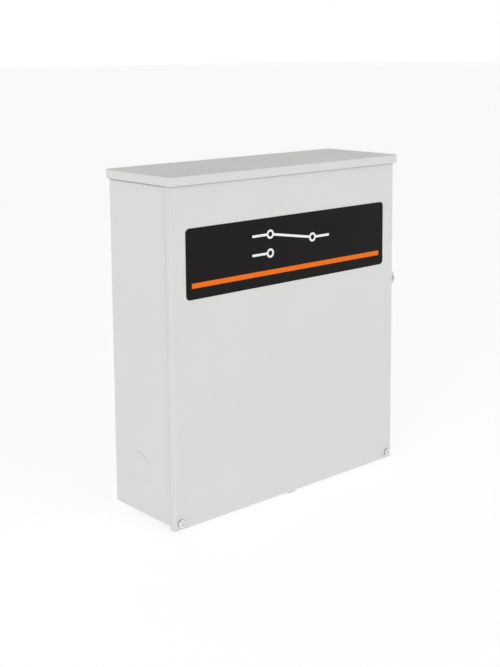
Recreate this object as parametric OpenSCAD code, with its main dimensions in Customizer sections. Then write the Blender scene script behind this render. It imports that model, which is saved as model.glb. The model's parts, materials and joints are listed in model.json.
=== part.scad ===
// Wall-mounted three-pole transfer switch in a raintight sheet-steel enclosure.
// Units are millimetres. +Z is up, the front faces -Y, and the wall is the plane y = 0.
// The origin is the centre of the four mounting holes, on the wall plane.

/* [Enclosure] */
// Outer width of the front cover
encl_w = 546; // [540:1:580]
// Height from the underside of the bottom panel to the top of the cap
encl_h = 604; // [600:1:640]
// Depth from the wall to the face of the cover
encl_d = 178; // [178:1:200]
// Thickness of the enclosure's steel sheet
sheet = 1.5; // [1.2:0.1:1.8]
// Outer radius of the long bends
bend_r = 5; // [3:0.5:6]

/* [Cap] */
// Height of the cap's turned-down lip
cap_lip = 16.5; // [14:0.5:20]
// How far the cap stands out past each side of the cover
cap_over_side = 3; // [3:0.5:6]
// How far the cap stands out past the cover's face
cap_over_front = 6; // [5:0.5:8]

/* [Cover] */
// Depth of the cover's turned-back sides
cover_return = 12.5; // [10:0.5:16]
// How far the cover hangs below the bottom panel
cover_drop = 5.5; // [4:0.5:8]
// Height of the tongue that the cover tucks up behind the cap's lip
cover_tongue = 10; // [6:1:12]
// Distance of each cover screw from the cover's side
screw_inset = 13; // [12:0.5:14]
// Height of the cover screws above the underside of the bottom panel
screw_rise = 6.5; // [6.5:0.5:9]

/* [Mounting] */
// Distance between the wall holes, left to right
wall_hole_w = 400; // [380:5:420]
// Distance between the wall holes, bottom to top
wall_hole_h = 540; // [530:5:550]
// Radius of the wall holes
wall_hole_r = 4.5; // [3.5:0.25:5]

/* [Transfer mechanism] */
// Distance from pole to pole
pole_pitch = 72; // [70:1:74]
// Turn of the rotor from one source to the other, in degrees
throw_angle = 40; // [36:1:42]
// Radius of the rotor shaft
shaft_r = 8; // [7:0.5:9]
// Radius of the wire bore in each power lug
lug_bore_r = 7.5; // [6:0.5:8]

/* [Hidden] */
$fn = 48;

// Planes and edges of the enclosure
half_w = encl_w / 2;
floor_z = -encl_h / 2;
top_z = encl_h / 2;
face_y = -encl_d;
side_x = half_w - sheet;
rim_step = 1.1;
rim_x = side_x - rim_step;
rim_back_y = face_y + 26.5;
joggle = 3.5;
flange_y = face_y + 2 * sheet;
flange_w = 20;
body_top_z = top_z - sheet;
cover_gap = 0.3;
lip_z = top_z - cap_lip;
swing_z = lip_z - 0.5;
cover_top_z = swing_z + cover_tongue;
cover_foot_z = floor_z - cover_drop;
screw_x = half_w - screw_inset;
screw_z = floor_z + screw_rise;

// Knockouts
knock_outer_r = 31;
knock_inner_r = 22;
knock_gap = 0.35;
knock_proud = 0.5;
knock_side_y = face_y + 103;
knock_side_z = floor_z + 78;
bottom_knock_x = [-150, 0, 150];
bottom_knock_y = -92;

// Padlock hasp
hasp_z = floor_z + 357;
hasp_h = 28;
hasp_reach = 18;
hasp_hole_r = 5;
hasp_x = half_w + 9.5;

// Label on the cover
label_w = 484;
label_h = 122;
label_z = floor_z + 453;
label_t = 0.4;
print_t = 0.12;

// Sub-panel
panel_w = 424;
panel_h = 476;
panel_y = -16;
panel_t = 2;
stud_x = 198;
stud_z = 224;

// Transfer mechanism. Its own frame has the rotor's axis as origin.
mech_z = 75;
axis_y = -82;
rest_angle = -throw_angle / 2;
pole_mid_x = -70;
pole_x = [for (i = [-1:1]) pole_mid_x + i * pole_pitch];
base_x0 = pole_mid_x - 122;
base_x1 = pole_mid_x + 122;
base_half_h = 135;
base_front_y = -44;
base_back_y = -23;
foot_y = -17.5;
plate_t = 3;
bar_w = 16;
bar_t = 4;
hub_r = 20;
tip_r = 5;
tip_z = 46;
blade_y = 8;
blade_t = 3;
blade_end = 52;
tip_t = 3;
contact_gap = 0.3;
run_gap = 0.06;
lug_w = 24;
lug_h = 30;
lug_d = 26;
lug_z = 115;
load_lug_z = -160;

// Lever, toggle spring and crank
lever_x0 = base_x0 - plate_t - 17;
lever_x1 = lever_x0 + 12;
toggle_r = 12;
toggle_post_z = 60;
toggle_x = lever_x0 - 7;
fork_x0 = base_x1 + plate_t + 11;
fork_t = 6;
crank_y = 24;
armature_drop = crank_y * tan(throw_angle / 2);
coil_x = 98;
coil_r = 20;
coil_z0 = 45;
coil_z1 = 99;
plunger_r = 7;
switch_x = 118;
switch_gap = 13.4;
switch_end = 33;

// Neutral and ground bars
bar_x0 = 62;
bar_x1 = 202;
bar_foot_inset = 10;
bar_screws = 10;
neutral_z = -105;
neutral_lift = 22;
ground_z = -195;
ground_lift = 6;

// Controls to the right of the mechanism
control_x0 = 142;
control_x1 = 206;
socket_z0 = 140;
socket_z1 = 216;
socket_t = 20;
socket_screw_in = 8;
socket_screw_r = 3.2;
socket_screw_x = [for (i = [0:3]) control_x0 + 9.5 + i * 15];
relay_d = 48;
fuse_z0 = 66;
fuse_z1 = 126;
fuse_pitch = 20;
fuse_x = [for (i = [0:2]) control_x0 + 12 + i * fuse_pitch];
fuse_y = panel_y - 20.5;
fuse_cap_r = 5.2;
strip_x0 = 154;
strip_x1 = 204;
strip_z0 = -72;
strip_pitch = 14;
strip_ways = 9;
strip_t = 12;
strip_screw_x = [168, 190];
strip_screw_r = 2.2;
way_z = [for (i = [0:strip_ways - 1]) strip_z0 + i * strip_pitch + 8.5];
wire_r = 1.4;

// Where each power lug stands: its middle, on the bar's front face
lug_places = [for (x = pole_x, z = [mech_z + lug_z, mech_z - lug_z, load_lug_z])
              [x, base_front_y - bar_t, z]];

// Rectangle of half width x from y_open to y_round, whose corners at y_round are round
module channel(x, y_open, y_round, r) {
  y_mid = y_round - sign(y_round - y_open) * r;
  translate([-x, min(y_open, y_mid)]) square([2 * x, abs(y_mid - y_open)]);
  translate([-(x - r), min(y_open, y_round)]) square([2 * (x - r), abs(y_round - y_open)]);
  for (cx = [-1, 1] * (x - r)) translate([cx, y_mid]) circle(r);
}

// Rectangle from low corner a to high corner b, with round corners
module round_rect(a, b, r) {
  translate([a[0] + r, a[1]]) square([b[0] - a[0] - 2 * r, b[1] - a[1]]);
  translate([a[0], a[1] + r]) square([b[0] - a[0], b[1] - a[1] - 2 * r]);
  for (x = [a[0] + r, b[0] - r], z = [a[1] + r, b[1] - r]) translate([x, z]) circle(r);
}

// Box from low corner a to high corner b
module box(a, b) {
  translate(a) cube(b - a);
}

// Cylinders along X and Y, from their lower coordinate
module rod_x(at, r, length) {
  translate(at) rotate([0, 90, 0]) cylinder(r = r, h = length);
}
module rod_y(at, r, length) {
  translate(at) rotate([-90, 0, 0]) cylinder(r = r, h = length);
}
module rod_z(at, r, length) {
  translate(at) cylinder(r = r, h = length);
}

// Two-dimensional shapes stood up: drawn in X and Z and pulled along Y, or drawn in Y and Z and pulled along X
module along_y(y0, y1) {
  translate([0, y1, 0]) rotate([90, 0, 0]) linear_extrude(y1 - y0) children();
}
module along_x(x0, x1) {
  translate([x0, 0, 0]) rotate([90, 0, 90]) linear_extrude(x1 - x0) children();
}

module mirrored_x() {
  children();
  mirror([1, 0, 0]) children();
}
module mirrored_z() {
  children();
  mirror([0, 0, 1]) children();
}

// Places children in the mechanism's frame, still or turned with the rotor at rest
module at_axis() {
  translate([0, axis_y, mech_z]) children();
}
module on_rotor() {
  at_axis() rotate([rest_angle, 0, 0]) children();
}
module each_pole() {
  for (x = pole_x) translate([x, 0, 0]) children();
}

// ---- Enclosure ----

// The body's outline in plan, grown inwards by t: the wide part, the narrower rim at the front
// and the slope of the joggle between them
module body_outline(t) {
  wide_y = rim_back_y + t;
  channel(side_x - t, wide_y, -t, bend_r - t);
  channel(rim_x - t, -bend_r - 2, flange_y + t, bend_r - t);
  polygon([[-(rim_x - t), wide_y - joggle], [rim_x - t, wide_y - joggle], [side_x - t, wide_y],
           [side_x - t, wide_y + 1], [-(side_x - t), wide_y + 1], [-(side_x - t), wide_y]]);
}

// Back, sides and front flanges, bent from one sheet
module body_section() {
  difference() {
    body_outline(0);
    body_outline(sheet);
    translate([-(rim_x - flange_w), flange_y - 1]) square([2 * (rim_x - flange_w), 4 * sheet]);
  }
}

module enclosure_body() {
  color("gainsboro")
    difference() {
      translate([0, 0, floor_z]) linear_extrude(body_top_z - floor_z) body_section();
      for (x = [-1, 1] * wall_hole_w / 2, z = [-1, 1] * wall_hole_h / 2)
        rod_y([x, -5, z], wall_hole_r, 10);
      for (x = [-1, 1]) {
        rod_x([x * side_x - 5, knock_side_y, knock_side_z], knock_outer_r, 10);
        rod_y([x * screw_x, flange_y - 3, screw_z], 3.6, 8);
      }
      // Room for the cover's tongue to turn back
      box([-half_w, flange_y - 1, swing_z - 2.5], [half_w, face_y + cover_tongue + 1, top_z]);
    }
}

module bottom_panel() {
  fit = 0.02;
  front = flange_y + 2 * sheet;
  flange_in = rim_x - flange_w - 0.5;
  wall = side_x - sheet - fit;
  color("gainsboro") {
    difference() {
      translate([0, 0, floor_z]) linear_extrude(sheet) intersection() {
        body_outline(sheet + fit);
        translate([-side_x, front]) square([2 * side_x, -front]);
      }
      for (x = bottom_knock_x) rod_z([x, bottom_knock_y, floor_z - 1], knock_outer_r, 5);
      for (x = [-1, 1] * 235) rod_z([x, -40, floor_z - 1], 3, 5);
    }
    // Front flange, stood up between the body's own flanges
    box([-flange_in, flange_y, floor_z], [flange_in, flange_y + sheet, floor_z + flange_w]);
    box([-flange_in, flange_y, floor_z], [flange_in, front + 1, floor_z + sheet]);
    // Welding flanges against the sides and back
    mirrored_x() box([wall - sheet, -140, floor_z], [wall, -20, floor_z + 14]);
    box([-180, -2 * sheet - fit, floor_z], [180, -sheet - fit, floor_z + 14]);
  }
}

// The cap's outline grown inwards by t, down to z0
module cap_form(t, z0) {
  x1 = half_w + cap_over_side - t;
  y0 = face_y - cap_over_front + t;
  r = 3 - t;
  intersection() {
    along_y(y0, 0) round_rect([-x1, z0 - 10], [x1, top_z - t], r);
    along_x(-x1, x1) round_rect([y0, z0 - 10], [10, top_z - t], r);
    translate([0, 0, z0]) linear_extrude(top_z - z0) round_rect([-x1, y0], [x1, 10], r);
  }
}

module rain_cap() {
  color("gainsboro")
    difference() {
      cap_form(0, lip_z);
      cap_form(sheet, lip_z - 5);
    }
}

// One pair of punched rings and their ties, lying in the XY plane
module knockout() {
  tie = 3;
  tie_gap = 0.02;
  linear_extrude(sheet) {
    circle(knock_inner_r - knock_gap);
    difference() {
      circle(knock_outer_r - knock_gap);
      circle(knock_inner_r);
    }
    intersection() {
      difference() {
        circle(knock_outer_r - tie_gap);
        circle(knock_outer_r - knock_gap - 0.5);
      }
      square([2 * knock_outer_r + 2, tie], center = true);
    }
    intersection() {
      difference() {
        circle(knock_inner_r + 0.5);
        circle(knock_inner_r - knock_gap - 0.5);
      }
      square([tie, 2 * knock_inner_r + 3], center = true);
    }
  }
}

module knockouts() {
  color("gainsboro") {
    mirrored_x()
      translate([-side_x - knock_proud, knock_side_y, knock_side_z]) rotate([0, 90, 0]) knockout();
    for (x = bottom_knock_x) translate([x, bottom_knock_y, floor_z - knock_proud]) knockout();
  }
}

// Angle welded to the rim, for a padlock's shackle
module padlock_bracket() {
  back = face_y + cover_return + cover_gap;
  color("gainsboro") {
    difference() {
      along_y(back, back + 2) hasp_outline(rim_x);
      rod_y([hasp_x, back - 1, hasp_z], hasp_hole_r, 4);
    }
    box([rim_x, back + 2, hasp_z - hasp_h / 2], [rim_x + 2, back + 10, hasp_z + hasp_h / 2]);
  }
}

// Tab with a rounded nose, from x0 outwards, in the XZ plane
module hasp_outline(x0) {
  nose = hasp_h / 2;
  tip_x = half_w + hasp_reach;
  translate([x0, hasp_z - nose]) intersection() {
    square([tip_x - x0, hasp_h]);
    union() {
      square([tip_x - x0 - nose, hasp_h]);
      translate([tip_x - x0 - nose, nose]) circle(nose);
    }
  }
}

// Round clinch nuts behind the flanges
module cover_screw_nuts() {
  color("silver")
    for (x = [-1, 1] * screw_x)
      difference() {
        rod_y([x, flange_y + sheet, screw_z], 4.8, 8);
        rod_y([x, flange_y + sheet - 1, screw_z], 3.5, 10);
      }
}

// Foam strip on the front flanges
module cover_gasket() {
  t = 1.2;
  w = 10;
  x1 = rim_x - 9;
  color("dimgray") {
    mirrored_x() box([x1 - w, flange_y - t, floor_z + 24], [x1, flange_y, swing_z - 6]);
    box([-x1 + w + 12, flange_y - t, floor_z + 7], [x1 - w - 12, flange_y, floor_z + 7 + w]);
  }
}

// ---- Front cover ----

// The cover's outline grown inwards by t, back to y1 and up to z1
module cover_form(t, y1, z1) {
  foot_r = 3;
  intersection() {
    translate([0, 0, cover_foot_z + t]) linear_extrude(z1 - cover_foot_z - t)
      channel(half_w - t, y1, face_y + t, bend_r - t);
    along_x(-half_w + t, half_w - t)
      round_rect([face_y + t, cover_foot_z + t], [y1 + foot_r, z1 + foot_r], foot_r - t);
  }
}

module front_cover() {
  back = face_y + cover_return;
  tab_w = 18;
  color("gainsboro")
    difference() {
      union() {
        difference() {
          cover_form(0, back, cover_top_z);
          cover_form(sheet, back + 5, cover_top_z + 5);
        }
        // Finger tab at the middle of the foot
        box([-tab_w / 2, face_y + 0.2, cover_foot_z - 2.5], [tab_w / 2, face_y + 0.2 + sheet, cover_foot_z + 4]);
        // Hasp tab, turned out from the right return
        along_y(back - sheet, back) hasp_outline(half_w - sheet);
      }
      for (x = [-1, 1] * screw_x) rod_y([x, face_y - 1, screw_z], 3.6, 5);
      rod_y([hasp_x, back - 5, hasp_z], hasp_hole_r, 8);
    }
}

module name_label() {
  color([0.13, 0.12, 0.13])
    along_y(face_y - label_t, face_y)
      round_rect([-label_w / 2, label_z - label_h / 2], [label_w / 2, label_z + label_h / 2], 8);
}

// Plain symbol of a double-throw switch: two source rings, a common ring and the blade between them
module label_symbol() {
  y1 = face_y - label_t;
  ring_r = 8.5;
  line = 4.5;
  source_x = -52;
  common_x = 52;
  source_z = 17;
  symbol_z = label_z + 14;
  run = common_x - source_x;
  color("white")
    along_y(y1 - print_t, y1)
      translate([0, symbol_z]) {
        for (p = [[source_x, source_z], [source_x, -source_z], [common_x, 0]])
          translate(p) difference() {
            circle(ring_r);
            circle(ring_r - line + 0.5);
          }
        for (z = [-1, 1] * source_z)
          translate([source_x - ring_r - 34, z - line / 2]) square([34.3, line]);
        translate([common_x + ring_r - 0.3, -line / 2]) square([34.3, line]);
        translate([source_x, source_z]) rotate(-atan(source_z / run))
          translate([ring_r - 0.3, -line / 2]) square([norm([run, source_z]) - 2 * ring_r + 0.6, line]);
      }
}

module label_stripe() {
  y1 = face_y - label_t;
  color("darkorange")
    along_y(y1 - print_t, y1)
      translate([-label_w / 2 + 12, label_z - 42]) square([label_w - 24, 9]);
}

// Plain paper card with the wiring diagram, inside the cover
module wiring_card() {
  color("ivory")
    along_y(face_y + sheet, face_y + sheet + 0.3)
      round_rect([-105, -175], [105, 105], 4);
}

// Hex washer-head screw with a cross slot, along Y
module cover_screw(x) {
  translate([x, face_y, screw_z]) {
    difference() {
      union() {
        rod_y([0, -2.7, 0], 7.2, 1.2);
        translate([0, -2.7, 0]) rotate([90, 0, 0]) rotate([0, 0, 30]) cylinder(r = 5.6, h = 2.8, $fn = 6);
      }
      box([-4.4, -7, -0.7], [4.4, -4.3, 0.7]);
    }
    rod_y([0, -1.5, 0], 3, 16);
  }
}
module screw_washer(x) {
  difference() {
    rod_y([x, face_y - 1.5, screw_z], 7.6, 1.5);
    rod_y([x, face_y - 3, screw_z], 3.1, 6);
  }
}
module left_cover_screw() { color("silver") cover_screw(-screw_x); }
module right_cover_screw() { color("silver") cover_screw(screw_x); }
module left_screw_washer() { color("dimgray") screw_washer(-screw_x); }
module right_screw_washer() { color("dimgray") screw_washer(screw_x); }

// ---- Sub-panel ----

module sub_panel() {
  color("silver")
    difference() {
      along_y(panel_y, panel_y + panel_t)
        round_rect([-panel_w / 2, -panel_h / 2], [panel_w / 2, panel_h / 2], 6);
      for (x = [-1, 1] * stud_x, z = [-1, 1] * stud_z) rod_y([x, panel_y - 2, z], 3.3, 8);
    }
}

// Weld studs on the back, each with its shoulder
module panel_studs() {
  color("silver")
    for (x = [-1, 1] * stud_x, z = [-1, 1] * stud_z) {
      rod_y([x, panel_y - 11, z], 3, -sheet - panel_y + 11);
      rod_y([x, panel_y + panel_t, z], 7, -sheet - panel_y - panel_t);
    }
}

module panel_nuts() {
  color("gray")
    for (x = [-1, 1] * stud_x, z = [-1, 1] * stud_z)
      difference() {
        union() {
          rod_y([x, panel_y - 1.5, z], 7, 1.5);
          translate([x, panel_y - 1.5, z]) rotate([90, 0, 0]) cylinder(r = 5.7, h = 5, $fn = 6);
        }
        rod_y([x, panel_y - 8, z], 3.05, 10);
      }
}

module insulating_sheet() {
  low_z = load_lug_z - 24;
  color("burlywood")
    difference() {
      box([base_x0 - 20, foot_y, low_z], [switch_x + 12, panel_y, mech_z + base_half_h + 4]);
      box([base_x1 + 4, foot_y - 1, low_z - 1], [switch_x + 13, panel_y + 1, mech_z - coil_z1 - 14]);
    }
}

// ---- Transfer mechanism, fixed pieces ----

module mechanism_base() {
  color([0.35, 0.12, 0.09])
    difference() {
      union() {
        box([base_x0, base_front_y, mech_z - base_half_h], [base_x1, base_back_y, mech_z + base_half_h]);
        for (x = [base_x0, base_x1 - 14], z = [-base_half_h, base_half_h - 14])
          box([x, base_back_y, mech_z + z], [x + 14, foot_y, mech_z + z + 14]);
      }
      // Studs of the load contacts
      each_pole() rod_y([0, base_front_y - 2, mech_z], 5.3, 30);
      for (x = [base_x0 + 7, base_x1 - 7], z = [-1, 1] * (base_half_h - 7))
        rod_y([x, base_front_y - 2, mech_z + z], 2.6, 40);
    }
}

module phase_barriers() {
  depth = 68;
  half_h = 88;
  color([0.35, 0.12, 0.09])
    for (x = [for (i = [0:3]) pole_mid_x + (i - 1.5) * pole_pitch])
      difference() {
        box([x - 2, base_front_y - depth, mech_z - half_h], [x + 2, base_front_y, mech_z + half_h]);
        box([x - 3, base_front_y - depth - 1, mech_z - 11], [x + 3, axis_y + 11, mech_z + 11]);
      }
}

module side_plates() {
  z0 = mech_z - 45;
  z1 = mech_z + 72;
  color("silver")
    for (s = [-1, 1]) {
      face = s < 0 ? base_x0 - plate_t : base_x1;
      out = s < 0 ? face - 15 : face + plate_t;
      difference() {
        union() {
          box([face, -106, z0], [face + plate_t, foot_y, z1]);
          box([out, foot_y - plate_t, z0], [out + 15, foot_y, z1]);
        }
        rod_x([face - 1, axis_y, mech_z], 13, plate_t + 2);
        for (z = [z0 + 14, z1 - 14]) rod_y([out + 7.5, foot_y - 6, z], 2.6, 10);
      }
    }
}

module shaft_bushes() {
  color("darkgoldenrod")
    for (s = [-1, 1]) {
      face = s < 0 ? base_x0 - plate_t : base_x1;
      rim = s < 0 ? face - 2 : face + plate_t;
      difference() {
        union() {
          rod_x([face, axis_y, mech_z], 13, plate_t);
          rod_x([rim, axis_y, mech_z], 16, 2);
        }
        rod_x([face - 3, axis_y, mech_z], shaft_r + run_gap, plate_t + 6);
      }
    }
}

// Pan-head screw, head towards -Y, its seat at the given point
module pan_screw(at, r, length) {
  translate(at) {
    difference() {
      rod_y([0, -r * 1.2, 0], r * 1.9, r * 1.2);
      box([-r * 1.3, -r * 2, -r * 0.25], [r * 1.3, -r * 0.7, r * 0.25]);
      box([-r * 0.25, -r * 2, -r * 1.3], [r * 0.25, -r * 0.7, r * 1.3]);
    }
    rod_y([0, -0.2, 0], r, length);
  }
}

module mechanism_screws() {
  color("silver") {
    for (x = [base_x0 + 7, base_x1 - 7], z = [-1, 1] * (base_half_h - 7))
      pan_screw([x, base_front_y, mech_z + z], 2.5, foot_y - base_front_y);
    for (x = [base_x0 - plate_t - 7.5, base_x1 + plate_t + 7.5], z = [mech_z - 31, mech_z + 58])
      pan_screw([x, foot_y - plate_t, z], 2.5, plate_t);
  }
}

// Flat bar on the base, with the pad that faces the moving contact; side is 1 above the shaft
module fixed_contact(side) {
  z0 = 28;
  z1 = lug_z + lug_h / 2;
  at_axis() mirror([0, 0, side > 0 ? 0 : 1]) {
    box([-bar_w / 2, base_front_y - axis_y - bar_t, z0], [bar_w / 2, base_front_y - axis_y, z1]);
    // Pad that faces the moving contact, sunk into the bar
    along_x(-bar_w / 2 + 1, bar_w / 2 - 1) intersection() {
      rotate(rest_angle)
        translate([blade_y + blade_t + 2 * tip_t + contact_gap, tip_z - 9]) square([20, 18]);
      square([base_front_y - axis_y - bar_t / 2, z1]);
    }
  }
}
module utility_contacts() { color([0.72, 0.42, 0.25]) each_pole() fixed_contact(1); }
module standby_contacts() { color([0.72, 0.42, 0.25]) each_pole() fixed_contact(-1); }

module fixed_contact_tips() {
  y0 = blade_y + blade_t + tip_t + contact_gap;
  color("silver")
    each_pole() at_axis() mirrored_z() rotate([rest_angle, 0, 0]) rod_y([0, y0, tip_z], tip_r, tip_t);
}

// Shoe against the hub, its stud through the base, and the bar that runs down to the load lug
module load_contacts() {
  shoe_r = hub_r + contact_gap;
  shoe_t = 4;
  shoe_half = 32;
  bar_back_y = foot_y - 1;
  bar_front_y = bar_back_y - bar_t;
  turn_z = load_lug_z + lug_h / 2 + 8;
  color([0.72, 0.42, 0.25])
    each_pole() {
      at_axis() intersection() {
        along_x(-7, 7) difference() {
          circle(shoe_r + shoe_t);
          circle(shoe_r);
        }
        along_x(-8, 8)
          polygon([[0, 0], [40, -40 * tan(shoe_half)], [40, 40 * tan(shoe_half)]]);
      }
      rod_y([0, axis_y + shoe_r + 2, mech_z], 5, bar_front_y - axis_y - shoe_r - 2);
      box([-bar_w / 2, bar_front_y, turn_z], [bar_w / 2, bar_back_y, mech_z + 9]);
      box([-bar_w / 2, base_front_y - bar_t, turn_z], [bar_w / 2, bar_back_y, turn_z + bar_t]);
      box([-bar_w / 2, base_front_y - bar_t, load_lug_z - lug_h / 2], [bar_w / 2, base_front_y, turn_z + bar_t]);
    }
}

// Moulded box over each pair of contacts, open towards the shaft and the base
module arc_chutes() {
  y0 = base_front_y - 62;
  y1 = base_front_y;
  color([0.82, 0.8, 0.74])
    each_pole() translate([0, 0, mech_z]) mirrored_z()
      difference() {
        box([-19, y0, 46], [19, y1, 84]);
        box([-15.5, y0 + 3.5, 45], [15.5, y1 + 1, 80.5]);
        box([-bar_w / 2 - 0.5, y1 - bar_t - 0.5, 80], [bar_w / 2 + 0.5, y1 + 1, 85]);
        for (i = [-2:2]) box([i * 5.5 - 1.2, y0 - 1, 64], [i * 5.5 + 1.2, y0 + 5, 76]);
      }
}

// Steel plates that split the arc
module arc_plates() {
  color("gray")
    each_pole() translate([0, 0, mech_z]) mirrored_z()
      for (i = [0:5]) {
        y = base_front_y - 14 - i * 7.5;
        difference() {
          box([-15.5, y, 60], [15.5, y + 1.6, 80]);
          translate([0, y - 1, 58]) rotate([-90, 0, 0]) cylinder(r = 7, h = 4, $fn = 4);
        }
      }
}

// ---- Rotor ----

module rotor_shaft() {
  color("silver") rod_x([lever_x0 + 1, axis_y, mech_z], shaft_r, fork_x0 + fork_t + 2 - lever_x0 - 1);
}

module contact_carriers() {
  core_r = 16;
  flange_r = 22;
  color([0.13, 0.13, 0.14])
    on_rotor() each_pole() difference() {
      union() {
        rod_x([-16, 0, 0], core_r, 32);
        for (x = [-16, 7.2]) rod_x([x, 0, 0], flange_r, 8.8);
        box([-9, 2, -40], [9, blade_y - 0.1, 40]);
      }
      rod_x([-18, 0, 0], shaft_r + 0.05, 36);
    }
}

module moving_blades() {
  inner_r = 16.1;
  color([0.72, 0.42, 0.25])
    on_rotor() each_pole() {
      intersection() {
        along_x(-7, 7) difference() {
          circle(hub_r);
          circle(inner_r);
        }
        box([-8, blade_y, -hub_r], [8, hub_r + 1, hub_r]);
      }
      mirrored_z() box([-7, blade_y, 14.2], [7, blade_y + blade_t, blade_end]);
    }
}

module moving_contact_tips() {
  color("silver")
    on_rotor() each_pole() mirrored_z() rod_y([0, blade_y + blade_t, tip_z], tip_r, tip_t);
}

module lever_arm() {
  color("gray")
    on_rotor() difference() {
      union() {
        rod_x([lever_x0, 0, 0], 16, lever_x1 - lever_x0);
        box([lever_x0 + 3, -62, -7], [lever_x1 - 3, -8, 7]);
        rod_x([lever_x0 - 13, 0, -toggle_r], 2, 14);
      }
      rod_x([lever_x0 - 1, 0, 0], shaft_r + 0.05, lever_x1 - lever_x0 + 2);
    }
}

module lever_grip() {
  color("firebrick")
    on_rotor() translate([(lever_x0 + lever_x1) / 2, -46, 0]) rotate([90, 0, 0])
      difference() {
        rotate_extrude() polygon([[0, 0], [8, 0], [9, 1.5], [8, 6], [9.5, 20], [10.5, 28], [9.6, 33], [6, 36.5], [0, 38]]);
        box([-3.05, -7.05, -1], [3.05, 7.05, 16.05]);
      }
}

module crank_fork() {
  color("gray")
    on_rotor() difference() {
      union() {
        rod_x([fork_x0, 0, 0], 15, fork_t);
        box([fork_x0, 0, -8.5], [fork_x0 + fork_t, 34, 8.5]);
      }
      rod_x([fork_x0 - 1, 0, 0], shaft_r + 0.05, fork_t + 2);
      box([fork_x0 - 1, 19, -3.35], [fork_x0 + fork_t + 1, 36, 3.35]);
    }
}

// Pin on the armature that rides in the fork
module crank_pin() {
  color("silver") at_axis() rod_x([fork_x0 - 3, crank_y, -armature_drop], 3, coil_x - 1 - fork_x0 + 3);
}

// Close-wound extension spring from the post on the side plate to the pin on the lever hub
module toggle_spring() {
  wire = 0.9;
  coil = 4;
  eye_r = 2.8;
  turns = 26;
  pin = [toggle_r * sin(rest_angle), -toggle_r * cos(rest_angle)];
  reach = norm([pin[0], toggle_post_z - pin[1]]);
  lean = atan(pin[0] / (toggle_post_z - pin[1]));
  body_h = turns * 2 * wire;
  body_z = -reach / 2 - body_h / 2;
  ridges = [for (i = [0:2 * turns]) [coil + (i % 2 == 0 ? 0.2 : wire), i * wire]];
  color("silver")
    at_axis() translate([toggle_x, 0, toggle_post_z - 0.15]) rotate([lean, 0, 0]) {
      translate([0, 0, body_z]) rotate_extrude() polygon(concat([[0, 0]], ridges, [[0, body_h]]));
      for (z = [0, -reach]) translate([0, 0, z]) rotate([0, 90, 0]) rotate_extrude() translate([eye_r + wire, 0]) circle(wire);
      rod_z([0, 0, body_z + body_h - 1], wire, -body_z - body_h - eye_r + 0.6);
      rod_z([0, 0, -reach + eye_r + 0.4], wire, body_z + reach - eye_r + 0.6);
    }
}

// Fixed post that holds the spring's upper end
module spring_post() {
  color("silver") at_axis() {
    rod_x([toggle_x - 6, 0, toggle_post_z], 2, base_x0 - plate_t - toggle_x + 6);
    rod_x([toggle_x - 4.5, 0, toggle_post_z], 3.6, 1.5);
    rod_x([base_x0 - plate_t - 12, 0, toggle_post_z], 5, 12);
  }
}

// ---- Solenoids and armature ----

module each_coil() {
  translate([coil_x, axis_y + crank_y, mech_z]) mirrored_z() children();
}

module solenoid_frames() {
  w = 22;
  back = foot_y - axis_y - crank_y;
  color("silver") {
    each_coil() {
      difference() {
        union() {
          for (z = [coil_z0 - plate_t, coil_z1]) box([-w, -coil_r - 2, z], [w, back, z + plate_t]);
          box([-w, back - plate_t, coil_z0 - plate_t], [w, back, coil_z1 + plate_t]);
        }
        rod_z([0, 0, coil_z0 - plate_t - 1], plunger_r + 1, plate_t + 2);
        rod_z([0, 0, coil_z1 - 1], 6.5, plate_t + 2);
      }
      // Fixed core that the plunger pulls up to
      rod_z([0, 0, coil_z1 - 4], 6.5, 4 + plate_t + 3);
    }
  }
}

module solenoid_bobbins() {
  color("ivory")
    each_coil() difference() {
      union() {
        rod_z([0, 0, coil_z0], 11, coil_z1 - coil_z0);
        for (z = [coil_z0, coil_z1 - 2.5]) rod_z([0, 0, z], coil_r, 2.5);
      }
      rod_z([0, 0, coil_z0 - 1], plunger_r + 0.8, coil_z1 - coil_z0 + 2);
    }
}

module solenoid_windings() {
  color([0.55, 0.14, 0.1])
    each_coil() difference() {
      rod_z([0, 0, coil_z0 + 2.6], coil_r - 1.5, coil_z1 - coil_z0 - 5.2);
      rod_z([0, 0, coil_z0], 11.05, coil_z1 - coil_z0);
    }
}

// Moulded link between the two plungers, with the finger that works the limit switches
module armature_link() {
  color([0.13, 0.13, 0.14])
    translate([coil_x, axis_y + crank_y, mech_z - armature_drop]) difference() {
      union() {
        box([-8, -8, -24], [8, 8, 24]);
        box([7, -4, -2], [26, 4, 2]);
      }
      rod_x([-9, 0, 0], 3.05, 9);
    }
}

module armature_plungers() {
  end_z = coil_z1 - 4 - 0.3 - armature_drop;
  color("silver")
    translate([coil_x, axis_y + crank_y, mech_z - armature_drop]) mirrored_z() rod_z([0, 0, 24], plunger_r, end_z - 24);
}

module limit_switches() {
  color([0.13, 0.13, 0.14])
    translate([switch_x, axis_y + crank_y, mech_z]) {
      mirrored_z() {
        difference() {
          box([-9, -5, switch_gap], [9, 5, switch_end]);
          rod_z([0, 0, switch_gap - 0.4], 1.8, 4.4);
        }
        for (x = [-6, 0, 6]) box([x - 1.5, -1, switch_end], [x + 1.5, -0.4, switch_end + 6]);
      }
    }
  color("silver")
    translate([switch_x, axis_y + crank_y, mech_z]) {
      back = foot_y - axis_y - crank_y;
      box([9, -6, -34], [10.5, back, 34]);
      box([-9, back - 1.5, -34], [9.5, back, 34]);
    }
}

module switch_button() {
  rod_z([switch_x, axis_y + crank_y, 11.2], 1.5, 4.8);
}
module upper_switch_button() { color("firebrick") translate([0, 0, mech_z]) switch_button(); }
module lower_switch_button() { color("firebrick") translate([0, 0, mech_z]) mirror([0, 0, 1]) switch_button(); }

// ---- Power terminals ----

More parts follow.
